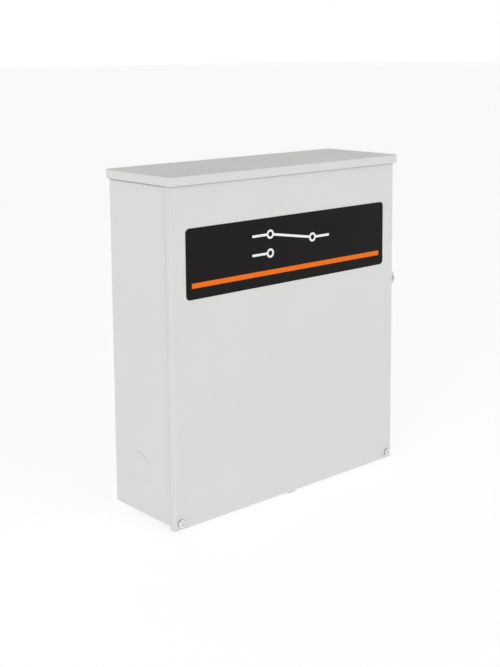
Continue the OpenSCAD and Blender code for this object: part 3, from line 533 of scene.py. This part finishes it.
def cover_screw(node, washer_node, body, turn):
    """Zinc hex screw with a pressed flange, a cross recess and a rolled thread, on its sealing washer."""
    low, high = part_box(node)
    washer_low, washer_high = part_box(washer_node)
    seat = Vector(((low.x + high.x) / 2, washer_low.y, (low.z + high.z) / 2))
    flange_t, head_t, across, shank_r = 1.2, 2.8, 5.5, 2.55
    screw = Piece(node + "_head")
    screw.lathe([(0, -0.1), (6.6, -0.1), (7.1, 0.2), (7.2, 0.6), (6.9, 1.0), (5.9, flange_t + 0.15),
                 (0, flange_t + 0.15)], seat, -Y, 48)
    hexagon = [(across * math.cos(turn + math.tau * i / 6),
                across * math.sin(turn + math.tau * i / 6)) for i in range(6)]
    screw.cup(hexagon, cross(3.1, 0.62, turn + 0.5), seat - Y * (flange_t * MM), -Y, head_t, 1.6, side=X,
              bevel=0.55)
    shank = (high.y - seat.y) / MM
    screw.lathe([(0, 0), (shank_r, 0), (shank_r, shank - 2.2), (1.1, shank - 0.1), (0, shank)], seat, Y, 28)
    pitch, steps = 1.4, 18
    count = int((shank - 4.6) / pitch) * steps
    screw.sweep(thread_path(seat, 2.4, pitch, steps, count, 2.5), 0.42, 6)
    screw.done(body, "zinc", replaces=[node])
    clear_of_cover = 0.03 * MM
    at = (seat.x, washer_high.y - clear_of_cover, seat.z)
    washer = Piece(washer_node + "_ring")
    washer.lathe([(3.2, 0.0), (6.6, 0.0), (7.5, 0.35), (7.55, 0.8), (7.2, 1.2), (3.2, 1.2)], at, -Y, 48)
    washer.done(body, "rubber", replaces=[washer_node])
    dish = Piece(washer_node + "_cup")
    dish.lathe([(3.3, 1.15), (7.0, 1.15), (7.35, 1.0), (7.5, 1.2), (7.1, 1.45), (3.3, 1.5)], at, -Y, 48)
    dish.done(body, "zinc")


# ---- Knockouts ----

def knockout_rims():
    """The coat bridges each knockout's slits, which leaves a soft pressed rim round both rings."""
    low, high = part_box("knockouts")
    outer, inner, proud = 31.0, 22.0, 0.5 * MM
    side_z, side_y, bottom_y = high.z - outer * MM, -75 * MM, -92 * MM
    seats = [((low.x + proud, side_y, side_z), -X), ((high.x - proud, side_y, side_z), X)]
    seats += [((x * MM, bottom_y, low.z + proud), -Z) for x in (-150, 0, 150)]
    rims = Piece("knockout_rims")
    for at, out in seats:
        for r in (outer, inner):
            rims.lathe([(r - 0.9, -0.3), (r - 0.9, 0.45), (r - 0.5, 0.72), (r, 0.8), (r + 0.45, 0.6),
                        (r + 0.8, 0.2), (r + 0.9, -0.3)], at, out, 72)
    rims.done("enclosure", "powder_coat", angle=70)


# ---- Spring ----

def toggle_spring():
    """Close-wound extension spring with a full loop at each end, drawn as one bent wire."""
    wire, coil, loop, crank = 0.85, 4.0, 3.65, 12 * MM
    post = Vector(JOINTS["toggle_swing"]["pos_m"])
    axis = Vector(JOINTS["rotor_turn"]["pos_m"])
    pin = Vector((post.x, axis.y + crank * math.sin(REST), axis.z - crank * math.cos(REST)))
    down = (pin - post).normalized()
    back = X.cross(down)
    reach = (pin - post).length
    turns, steps = 24, 16
    pitch = 1.96 * wire * MM
    start = (reach - turns * pitch) / 2

    def place(a, b, along):
        return post + X * (a * MM) + back * (b * MM) + down * along

    def eye(centre, sign):
        angles = (math.radians(a) for a in range(-150, 151, 15))
        return [place(0, loop * math.sin(a), centre - sign * loop * MM * math.cos(a)) for a in angles]

    helix = [place(coil * math.cos(math.tau * k / steps), coil * math.sin(math.tau * k / steps),
                   start + pitch * k / steps) for k in range(turns * steps + 1)]
    end = start + turns * pitch
    neck = [place(0.6, 1.2, start - 5.5 * MM), place(2.6, 0.6, start - 2.2 * MM)]
    foot = [place(2.6, -0.6, end + 2.2 * MM), place(0.6, -1.2, end + 5.5 * MM)]
    head = smooth_path(eye(0, 1) + neck + helix[:1], 3)
    tail = smooth_path(helix[-1:] + foot + eye(reach, -1), 3)
    Piece("spring_wire").sweep(head[:-1] + helix + tail[1:], wire, 8).done(
        "toggle", "steel", replaces=["toggle_spring"], angle=60)


# ---- Coils ----

def coil_windings():
    """Layers of varnished wire on each bobbin, with a band of tape over the middle."""
    low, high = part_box("solenoid_windings")
    at = (low + high) / 2
    radius, inner, strand = (high.x - low.x) / 2 / MM, 11.2, 0.9
    half = 48.5
    ridges = []
    for k in range(int(half / strand)):
        ridges += [(radius - 0.25, strand * k), (radius, strand * (k + 0.5)),
                   (radius - 0.25, strand * (k + 0.95))]
    for name, base in (("upper", high.z - half * MM), ("lower", low.z)):
        start = (at.x, at.y, base)
        wound = Piece(name + "_winding").lathe([(inner, 0)] + ridges + [(inner, ridges[-1][1])], start, Z, 56)
        wound.done("enclosure", "winding", replaces=["solenoid_windings"], angle=60)
        edge = radius - 0.4
        band = Piece(name + "_coil_tape")
        band.lathe([(edge, 12), (radius + 0.35, 12), (radius + 0.5, 24), (radius + 0.35, 36), (edge, 36)],
                   start, Z, 56)
        band.done("enclosure", "winding", EXTRA["tape"])


# ---- Wiring ----

def lead(name, points, finish, radius, bend=6.0, replaces=()):
    """An insulated wire along the points, with a bright ferrule at each end."""
    path = bent_path(points, bend)
    Piece(name).sweep(path, radius, 12).done("enclosure", "wire_blue", finish, replaces=replaces, angle=60)
    ends = Piece(name + "_ferrules")
    for tip, inner in ((path[0], path[1]), (path[-1], path[-2])):
        toward = (tip - inner).normalized()
        ends.rod(tip - toward * (4.5 * MM), tip - toward * (0.2 * MM), radius * 1.12, 0.2, 16)
    ends.done("enclosure", "zinc", EXTRA["tin"])


def way_heights():
    """The height of each way of the terminal strip."""
    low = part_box("terminal_strip")[0]
    return [low.z + (8.5 + STRIP_PITCH * i) * MM for i in range(STRIP_WAYS)]


def strip_entry(radius):
    """Where a wire of this radius lies at the strip's screws: its depth and its end."""
    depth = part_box("relay_socket")[1].y - (12 + radius + 0.3) * MM
    return depth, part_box("terminal_strip")[0].x + (14 - 4.18 - radius) * MM


def cable_tie(name, at, width, depth):
    """A nylon tie round an upright bundle, with its locking head on the front."""
    tie = Piece(name)
    tie.slab([oblong(width + 2, depth + 2, 1.8), oblong(width, depth, 1.2)], at, Z, 2.4, side=X)
    tie.block(Vector(at) + Vector((-2.4 * MM, -(depth / 2 + 3.4) * MM, -0.8 * MM)),
              Vector(at) + Vector((2.4 * MM, -(depth / 2 + 0.6) * MM, 3.2 * MM)), 0.5)
    tie.done("enclosure", "nylon")


def control_wiring():
    """Three wires from the relay's upper screws, down past the limit switches to the terminal strip."""
    radius, gap = 1.4, 0.1
    socket_low, socket_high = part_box("relay_socket")
    panel = socket_high.y
    lane_x, lane_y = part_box("limit_switches")[1].x + 3.0 * MM, panel - 4 * MM
    relay_y = panel - (20 + radius + gap) * MM
    relay_z = socket_high.z - (8 - 3.2 - radius - gap) * MM
    strip_y, strip_end = strip_entry(radius)
    finishes = (MATERIALS["wire_blue"], EXTRA["wire_red"], EXTRA["wire_yellow"])
    for i, (finish, way) in enumerate(zip(finishes, way_heights())):
        x, pin = lane_x + 3.2 * i * MM, socket_low.x + (9.5 + 15 * i) * MM
        top = socket_high.z + (6 + 3.4 * i) * MM
        lead("control_wire_%d" % (i + 1),
             [(pin, relay_y, relay_z), (pin, relay_y, top), (x, relay_y, top), (x, lane_y, top),
              (x, lane_y, way), (x, strip_y, way), (strip_end, strip_y, way)],
             finish, radius, replaces=["control_wires"] if i == 0 else ())
    for i, z in enumerate((0.19, 0.125, 0.02)):
        cable_tie("control_tie_%d" % (i + 1), (lane_x + 3.2 * MM, lane_y, z), 9.8, 3.4)


def coil_leads():
    """Two leads from each coil, bundled behind the limit switches, down to the terminal strip."""
    radius = 1.1
    coil_low, coil_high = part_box("solenoid_windings")
    side, coil_y = coil_high.x - 1.0 * MM, (coil_low.y + coil_high.y) / 2
    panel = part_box("relay_socket")[1].y
    strip_y, strip_end = strip_entry(radius)
    near, far = panel - 6.5 * MM, panel - 9.5 * MM
    right, left = coil_high.x + 8.5 * MM, coil_high.x + 5.5 * MM
    ways = way_heights()
    runs = ((coil_high.z - 5 * MM, right, far, 6, "wire_red"),
            (coil_high.z - 9 * MM, right, near, 5, "wire_yellow"),
            (coil_low.z + 43 * MM, left, far, 4, "wire_red"),
            (coil_low.z + 39 * MM, left, near, 3, "wire_yellow"))
    for i, (z, x, y, row, finish) in enumerate(runs):
        lead("coil_lead_%d" % (i + 1),
             [(side, coil_y, z), (x, coil_y + 4 * MM, z), (x, y, z - 3 * MM), (x, y, ways[row]),
              (x + 4 * MM, strip_y, ways[row]), (strip_end, strip_y, ways[row])], EXTRA[finish], radius, 4.0)
    middle_x, middle_y = (left + right) / 2, (near + far) / 2
    cable_tie("coil_tie_upper", (middle_x + 1.5 * MM, middle_y, 0.125), 2.6, 5.4)
    cable_tie("coil_tie_lower", (middle_x + 1.5 * MM, middle_y, 0.036), 2.6, 5.4)


# ---- Terminals ----

def terminal_strip():
    """Moulded barrier strip with a clamp plate and a screw each side of every way, and a blank marker."""
    low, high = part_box("terminal_strip")
    wall, front, centre = 3 * MM, high.y - 12 * MM, (low.x + high.x) / 2
    body = Piece("strip_moulding").block((low.x, front, low.z), high, 0.8)
    for i in range(STRIP_WAYS + 1):
        z = low.z + i * STRIP_PITCH * MM
        body.block((low.x + 4 * MM, low.y, z), (high.x - 4 * MM, front + 1 * MM, z + wall), 0.5)
    body.block((centre - 3 * MM, low.y + 3 * MM, low.z + 1 * MM),
               (centre + 3 * MM, front + 1 * MM, high.z - 1 * MM), 0.5)
    body.done("enclosure", "moulding_black", replaces=["terminal_strip"])
    clamps, screws = Piece("strip_clamps"), Piece("strip_screws")
    for i, z in enumerate(way_heights()):
        for side in (-1, 1):
            x = centre + side * 11 * MM
            clamps.block((x - 6.5 * MM, front - 1.0 * MM, z - 4.6 * MM),
                         (x + 6.5 * MM, front + 0.5 * MM, z + 4.6 * MM), 0.3)
            pan_head(screws, (x, front - 0.9 * MM, z), -Y, 4.1, 2.3, 0.37 * i * side)
    clamps.done("enclosure", "zinc", EXTRA["tin"])
    screws.done("enclosure", "zinc")
    marker = Piece("strip_marker")
    marker.block((centre - 2.4 * MM, low.y + 2.5 * MM, low.z + 2 * MM),
                 (centre + 2.4 * MM, low.y + 3.2 * MM, high.z - 2 * MM), 0.15)
    marker.done("enclosure", "label_white")


def terminal_bar(node, foot_slot, foot_r, screw_finish):
    """Extruded bar with round conductor holes and slotted clamp screws, on its two feet."""
    low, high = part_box(node)
    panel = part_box("sub_panel")[0].y
    z, bar_front, bar_back = (low.z + high.z) / 2, low.y + 4 * MM, low.y + 15 * MM
    count, half = 10, 7
    at = [low.x + (high.x - low.x) * i / (count + 1) for i in range(1, count + 1)]
    centre = Vector(((low.x + high.x) / 2, (bar_front + bar_back) / 2, z - half * MM))
    holes = [circle(3, 24, (x - centre.x) / MM) for x in at]
    bar = Piece(node + "_extrusion")
    bar.slab([oblong((high.x - low.x) / MM, 11, 1.0)] + holes, centre, Z, 2 * half, side=X)
    bar.done("enclosure", "aluminium", replaces=[node])
    screws = Piece(node + "_screws")
    for i, x in enumerate(at):
        turn = 0.55 * i
        c, s = math.cos(turn), math.sin(turn)
        slot = [(a * c - b * s, a * s + b * c) for a, b in oblong(5.8, 1.0)]
        screws.cup(circle(3.6, 28), slot, (x, bar_front + 0.3 * MM, z), -Y, 4.1, 1.4, side=X, bevel=0.5)
    screws.done("enclosure", "zinc", screw_finish)
    gap = (panel - bar_back) / MM
    r = foot_r
    waist = [(r, gap * 0.25), (r * 0.86, gap * 0.32), (r, gap * 0.4), (r, gap * 0.6),
             (r * 0.86, gap * 0.68), (r, gap * 0.75)]
    feet = Piece(node + "_feet")
    for x in (low.x + 10 * MM, high.x - 10 * MM):
        feet.lathe([(0, 0), (r, 0)] + waist + [(r, gap), (0, gap)], (x, panel, z), -Y, 36)
    feet.done("enclosure", foot_slot)


def relay_socket():
    """Screw-terminal socket for the relay, with a barrier between its screws."""
    low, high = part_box("relay_socket")
    front = low.y + 1.5 * MM
    socket = Piece("socket_moulding").block((low.x, front + 5 * MM, low.z), high, 0.9)
    for z0, z1 in ((low.z, low.z + 14.5 * MM), (high.z - 14.5 * MM, high.z)):
        for i in range(5):
            x = low.x + (1 + 14.9 * i) * MM
            socket.block((x, front, z0 + 0.5 * MM), (x + 2.2 * MM, front + 6 * MM, z1 - 0.5 * MM), 0.4)
    socket.block((low.x + 4 * MM, front, low.z + 15 * MM),
                 (high.x - 4 * MM, front + 6 * MM, high.z - 15 * MM), 0.6)
    socket.done("enclosure", "moulding_black", replaces=["relay_socket"])
    screws = Piece("socket_screws")
    for z in (low.z + 8 * MM, high.z - 8 * MM):
        for i in range(4):
            x = low.x + (9.5 + 15 * i) * MM
            screws.block((x - 5 * MM, front + 3.2 * MM, z - 4.5 * MM),
                         (x + 5 * MM, front + 5.3 * MM, z + 4.5 * MM), 0.3)
            pan_head(screws, (x, front + 3.3 * MM, z), -Y, 3.2, 3.4, 0.5 * i)
    screws.done("enclosure", "zinc")


def relay():
    """Plug-in relay: a hollow clear cover over a coil, a yoke and contact springs."""
    low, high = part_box("control_relay")
    at = (low + high) / 2
    wide, tall, wall, base_t = (high.x - low.x) / MM, (high.z - low.z) / MM, 1.3, 4
    deep = (high.y - low.y) / MM - base_t
    cover = Piece("relay_cover")
    cover.cup(oblong(wide, tall, 3), oblong(wide - 2 * wall, tall - 2 * wall, 2), (at.x, low.y, at.z), Y,
              deep, deep - wall, side=X)
    cover.done("enclosure", "smoke_plastic", replaces=["control_relay"])
    base = Piece("relay_base")
    base.block((low.x + 0.5 * MM, high.y - base_t * MM, low.z + 0.5 * MM),
               (high.x - 0.5 * MM, high.y, high.z - 0.5 * MM), 0.8)
    base.done("enclosure", "moulding_black")
    seat = high.y - 8 * MM
    ridges = []
    for k in range(30):
        ridges += [(9.6, 0.8 * k), (9.9, 0.8 * k + 0.4)]
    Piece("relay_coil").lathe([(0, 0)] + ridges + [(0, 24)], (at.x, seat, at.z), -Y, 36).done(
        "enclosure", "winding", angle=60)
    yoke = Piece("relay_yoke")
    for y0, y1, z0, z1 in ((-8, -4, -13, 13), (-38, -4, 11, 13), (-38, -36, -10, 13)):
        yoke.block((at.x - 8 * MM, high.y + y0 * MM, at.z + z0 * MM),
                   (at.x + 8 * MM, high.y + y1 * MM, at.z + z1 * MM), 0.4)
    yoke.done("enclosure", "galvanised")
    leaves = Piece("relay_springs")
    for i in (-1, 0, 1):
        x = at.x + i * 12 * MM
        for y0, z0 in ((-40, -17), (-38, -20)):
            leaves.block((x - 2.5 * MM, high.y + y0 * MM, at.z + z0 * MM),
                         (x + 2.5 * MM, high.y - 4 * MM, at.z + (z0 + 0.5) * MM), 0.1)
    leaves.done("enclosure", "copper", EXTRA["tin"])


def fuse_block():
    """Moulded three-way block with a barrier each side of every fuse."""
    low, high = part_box("fuse_block")
    front = high.y - 12 * MM
    body = Piece("fuse_block_moulding").block((low.x, front, low.z), high, 0.9)
    for i in range(4):
        x = low.x + 20 * i * MM
        body.block((x, low.y, low.z), (x + 4 * MM, front + 1 * MM, high.z), 0.6)
    body.done("enclosure", "moulding_black", replaces=["fuse_block"])


def fuses():
    """Glass cartridge fuses with plated caps and a thin link, held in spring clips."""
    low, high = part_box("fuses")
    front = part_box("fuse_block")[1].y - 12 * MM
    y, radius = (low.y + high.y) / 2, (high.y - low.y) / 2 / MM
    glass, caps, link, clips = (Piece("fuse_" + part) for part in ("glass", "caps", "links", "clips"))
    bow = 5.5
    for i in range(3):
        x = low.x + (radius + 20 * i) * MM
        glass.lathe([(4.3, 0), (4.75, 0), (4.75, 30), (4.3, 30)], (x, y, low.z + 6 * MM), Z, 28)
        link.rod((x, y, low.z + 3 * MM), (x, y, high.z - 3 * MM), 0.35, 0.05, 8)
        for start, way in ((low.z, Z), (high.z, -Z)):
            caps.lathe([(0, 0), (4.6, 0), (5.05, 0.45), (5.05, 9.3), (4.8, 9.5), (4.8, 1.0), (0, 1.0)],
                       (x, y, start), way, 32)
            z = start + way.z * 5 * MM
            clips.block((x - 4 * MM, front - 1.0 * MM, z - 4 * MM),
                        (x + 4 * MM, front + 0.5 * MM, z + 4 * MM), 0.3)
            clips.block((x - 1.6 * MM, y + (bow - 0.3) * MM, z - 3.6 * MM),
                        (x + 1.6 * MM, front - 0.5 * MM, z + 3.6 * MM), 0.2)
            arc = [(bow * math.sin(math.radians(a)), bow * math.cos(math.radians(a)))
                   for a in range(-125, 126, 10)]
            clips.slab([arc + [(a * 0.93, b * 0.93) for a, b in reversed(arc)]], (x, y, z - 3.8 * MM), Z,
                       7.6, side=X)
    glass.done("enclosure", "glass_tube", replaces=["fuses"])
    caps.done("enclosure", "zinc", MATERIALS["silver"])
    link.done("enclosure", "silver")
    clips.done("enclosure", "copper", EXTRA["tin"])


# ---- Mechanism ----

def lever_grip():
    """Turned red grip with finger grooves on the hand lever."""
    axis = Vector(JOINTS["rotor_turn"]["pos_m"])
    out = Vector((0, -math.cos(REST), -math.sin(REST)))
    low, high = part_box("lever_grip")
    start = Vector(((low.x + high.x) / 2, axis.y, axis.z)) + out * (46 * MM)
    profile = [(0, 0), (7.6, 0), (8.6, 0.6), (8.9, 1.8), (8.2, 3.6)]
    for k in range(5):
        h, swell = 6 + 4.4 * k, 8.4 + 0.32 * k
        profile += [(swell - 0.5, h - 1.4), (swell + 0.35, h + 0.4), (swell + 0.35, h + 1.6),
                    (swell - 0.4, h + 2.8)]
    profile += [(10.2, 29), (9.9, 32), (8.7, 34.8), (6.3, 36.7), (3.2, 37.7), (0, 38)]
    Piece("grip_turning").lathe(profile, start, out, 48).done("rotor", "red_plastic",
                                                              replaces=["lever_grip"], angle=60)
    pin = Piece("grip_rivet")
    for side in (-1, 1):
        pin.lathe([(0, 0), (2.0, 0), (1.9, 0.5), (1.2, 0.95), (0, 1.1)],
                  start + out * (10 * MM) + X * (side * 8.3 * MM), X * side, 20)
    pin.done("rotor", "steel")


def limit_switches():
    """Two snap switches on a shared bracket, each with a well for its button, solder tags and screws."""
    low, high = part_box("limit_switches")
    mid_z, y, half, wide = (low.z + high.z) / 2, low.y + 6 * MM, 5, 18
    centre = low.x + wide / 2 * MM
    bodies, tags, screws = Piece("switch_cases"), Piece("switch_tags"), Piece("switch_screws")
    for sign in (-1, 1):
        bodies.cup(oblong(wide, 2 * half, 0.8, 3), circle(1.8, 24), (centre, y, mid_z + sign * 33 * MM),
                   Z * -sign, 19.6, 4, side=X, bevel=0.3)
        z0, z1 = sorted((mid_z + sign * 18 * MM, mid_z + sign * 29 * MM))
        bodies.block((low.x + 3 * MM, y - (half + 0.35) * MM, z0),
                     (low.x + 15 * MM, y - (half - 0.2) * MM, z1), 0.15)
        z0, z1 = sorted((mid_z + sign * 32.8 * MM, mid_z + sign * 39 * MM))
        for x in (3, 9, 15):
            tags.block((low.x + (x - 1.5) * MM, y - 1.0 * MM, z0),
                       (low.x + (x + 1.5) * MM, y - 0.4 * MM, z1), 0.1)
        for x in (1.7, wide - 1.7):
            pan_head(screws, (low.x + x * MM, y - half * MM, mid_z + sign * 30.6 * MM), -Y, 1.5, 0.9)
    bodies.done("enclosure", "moulding_black", replaces=["limit_switches"])
    tags.done("enclosure", "silver", EXTRA["tin"])
    screws.done("enclosure", "zinc")
    bracket = Piece("switch_bracket")
    bracket.block((low.x + wide * MM, low.y, mid_z - 34 * MM), (high.x, high.y, mid_z + 34 * MM), 0.4)
    bracket.block((low.x, high.y - 1.5 * MM, mid_z - 34 * MM), (high.x, high.y, mid_z + 34 * MM), 0.4)
    bracket.done("enclosure", "galvanised")


def panel_nuts():
    """Flanged hex nuts on the sub-panel's studs, and the threads that stand out of them."""
    low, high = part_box("panel_nuts")
    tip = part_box("panel_studs")[0].y
    nuts, threads = Piece("panel_hex_nuts"), Piece("stud_threads")
    for x in (low.x + 7 * MM, high.x - 7 * MM):
        for z in (low.z + 7 * MM, high.z - 7 * MM):
            nuts.lathe([(3.1, 0), (6.8, 0), (7.0, 0.3), (6.6, 1.1), (5.4, 1.6), (3.1, 1.6)],
                       (x, high.y, z), -Y, 40)
            nuts.lathe([(3.1, 1.4), (5.5, 1.4), (5.6, 5.4), (4.9, 6.2), (3.6, 6.2), (3.1, 5.8)],
                       (x, high.y, z), -Y, 6)
            threads.sweep(thread_path(Vector((x, tip, z)), 0.4, 1.0, 14, 56, 2.95), 0.3, 6)
    nuts.done("enclosure", "zinc", replaces=["panel_nuts"])
    threads.done("enclosure", "zinc")


def bar_screws():
    """Hex screws that hold the contact bars down on the base, between each chute and its lug."""
    screws = Piece("contact_bar_screws")
    axis = Vector(JOINTS["rotor_turn"]["pos_m"])
    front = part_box("mechanism_base")[0].y - 4 * MM
    for i in (-1, 0, 1):
        for sign in (-1, 1):
            at = Vector((axis.x + i * 72 * MM, front, axis.z + sign * 92 * MM))
            screws.lathe([(0, 0), (5.6, 0), (5.6, 0.9), (0, 0.9)], at, -Y, 32)
            hex_head(screws, at - Y * (0.8 * MM), -Y, 4.4, 3.3, 0.4 * i)
    screws.done("enclosure", "zinc")


def card_print():
    """A plain wiring diagram on the card: symbols and lines only."""
    low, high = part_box("wiring_card")
    ink = Piece("card_diagram")
    y0, y1 = high.y - 0.01 * MM, high.y + 0.08 * MM
    cx = (low.x + high.x) / 2

    def line(ax, az, bx, bz, width=0.9):
        a, b = sorted((ax, bx)), sorted((az, bz))
        ink.block((cx + (a[0] - width / 2) * MM, y0, low.z + (b[0] - width / 2) * MM),
                  (cx + (a[1] + width / 2) * MM, y1, low.z + (b[1] + width / 2) * MM), 0)

    def ring(x, z, radius):
        ink.lathe([(radius - 0.8, 0), (radius, 0), (radius, 0.08), (radius - 0.8, 0.08)],
                  (cx + x * MM, y0, low.z + z * MM), Y, 28)

    for x0, z0, x1, z1 in ((-92, 12, 92, 268), (-80, 205, -30, 250), (30, 205, 80, 250), (-25, 30, 25, 62)):
        line(x0, z0, x1, z0), line(x0, z1, x1, z1), line(x0, z0, x0, z1), line(x1, z0, x1, z1)
    for k in (-1, 0, 1):
        for side in (-1, 1):
            x = side * 55 + k * 12
            line(x, 205, x, 170 - 8 * k)
            line(x, 170 - 8 * k, side * 20 + k * 3, 170 - 8 * k)
            line(side * 20 + k * 3, 170 - 8 * k, side * 20 + k * 3, 140)
            ring(side * 20 + k * 3 * 2, 136, 2.6)
        line(k * 12, 62, k * 12, 110)
        ring(k * 12, 114, 3)
    for row in range(4):
        line(-70, 90 - row * 9, -45, 90 - row * 9)
    ink.done("cover", "label_black", EXTRA["print_black"])


def dress_cad_nodes():
    """Every CAD node gets a finish, its slot's or its own; the nodes listed in soft_edges also get slightly
    rounded edges.
    """
    slots = {part["node"]: part["material_slot"] for part in frame["record"]["subparts"]}
    coat = MATERIALS["powder_coat"]
    # The body and the cover take copies of the coat with painted shade under the cap's lip; the body's copy also
    # has it behind the cover's edge
    own = {"enclosure_body": painted_shade_coat("body_coat", coat, 0.95, 4.0, seam=0.18),
           "front_cover": painted_shade_coat("cover_coat", coat, 0.46, 3.0)}
    soft_edges = {"enclosure_body", "front_cover", "bottom_panel", "padlock_bracket", "side_plates",
                  "power_lugs", "lever_arm", "crank_fork", "load_terminal_block", "utility_contacts",
                  "standby_contacts", "phase_barriers", "solenoid_frames", "armature_link", "sub_panel",
                  "mechanism_base", "arc_chutes"}
    for name, node in frame["nodes"].items():
        finish = own.get(name, MATERIALS[slots[name]])
        for slot in node.material_slots:
            slot.material = finish
        if not node.material_slots:
            node.data.materials.append(finish)
        if name in soft_edges:
            weld = node.modifiers.new("weld", "WELD")
            weld.merge_threshold = 0.005 * MM
            bevel = node.modifiers.new("edges", "BEVEL")
            bevel.width = 0.3 * MM
            bevel.segments = 2
            bevel.limit_method = "ANGLE"
            bevel.angle_limit = math.radians(50)


# ---- Studio ----

def make_stage():
    """A wide pale floor just under the object."""
    half, z = 40.0, cad_box[0][2] - 0.0005
    mesh = bpy.data.meshes.new("floor")
    mesh.from_pydata([(-half, -half, z), (half, -half, z), (half, half, z), (-half, half, z)], [],
                     [(0, 1, 2, 3)])
    floor = bpy.data.objects.new("floor", mesh)
    bpy.context.scene.collection.objects.link(floor)
    paint = surface("floor_paint", (0.93, 0.93, 0.93), 0.7, vary=0.004, mottle=1.0, grain=200, bump=0.02)
    glow = paint.node_tree.nodes["Principled BSDF"].inputs
    glow["Emission Color"].default_value = (1, 1, 1, 1)
    glow["Emission Strength"].default_value = 0.36
    mesh.materials.append(paint)


def area_light(name, at, aim, size, watts):
    data = bpy.data.lights.new(name, "AREA")
    data.shape = "RECTANGLE"
    data.size, data.size_y = size
    data.energy = watts
    lamp = bpy.data.objects.new(name, data)
    lamp.location = at
    lamp.rotation_euler = (Vector(aim) - Vector(at)).to_track_quat("-Z", "Y").to_euler()
    bpy.context.scene.collection.objects.link(lamp)


def make_lights():
    """Bright white surroundings, dimmer overhead, and large soft lamps on the front and the left."""
    world = bpy.data.worlds.new("studio")
    world.use_nodes = True
    tree = world.node_tree
    tree.nodes.clear()
    where = add(tree, "ShaderNodeTexCoord").outputs["Generated"]
    height = add(tree, "ShaderNodeSeparateXYZ", {"Vector": where}).outputs["Z"]
    level = spread(tree, height, 1.0, 0.50, 0.12, 0.75)
    sky = add(tree, "ShaderNodeBackground", {"Color": (1, 1, 1, 1), "Strength": level})
    out = tree.nodes.new("ShaderNodeOutputWorld")
    tree.links.new(sky.outputs[0], out.inputs[0])
    bpy.context.scene.world = world
    area_light("front_lamp", (0.9, -3.2, 1.1), (0, -0.1, 0), (2.4, 2.0), 9.5)
    area_light("left_lamp", (-3.2, -1.2, 0.9), (0, -0.1, 0), (2.0, 2.0), 13)


bpy.context.scene.view_settings.view_transform = "Standard"
make_camera()
cover_screw("left_cover_screw", "left_screw_washer", "left_screw", 0.2)
cover_screw("right_cover_screw", "right_screw_washer", "right_screw", 0.75)
knockout_rims()
toggle_spring()
coil_windings()
control_wiring()
coil_leads()
terminal_strip()
terminal_bar("neutral_bar", "nylon", 8, MATERIALS["zinc"])
terminal_bar("ground_bar", "zinc", 6, EXTRA["green_screw"])
relay_socket()
relay()
fuse_block()
fuses()
lever_grip()
limit_switches()
panel_nuts()
bar_screws()
card_print()
dress_cad_nodes()
make_stage()
make_lights()
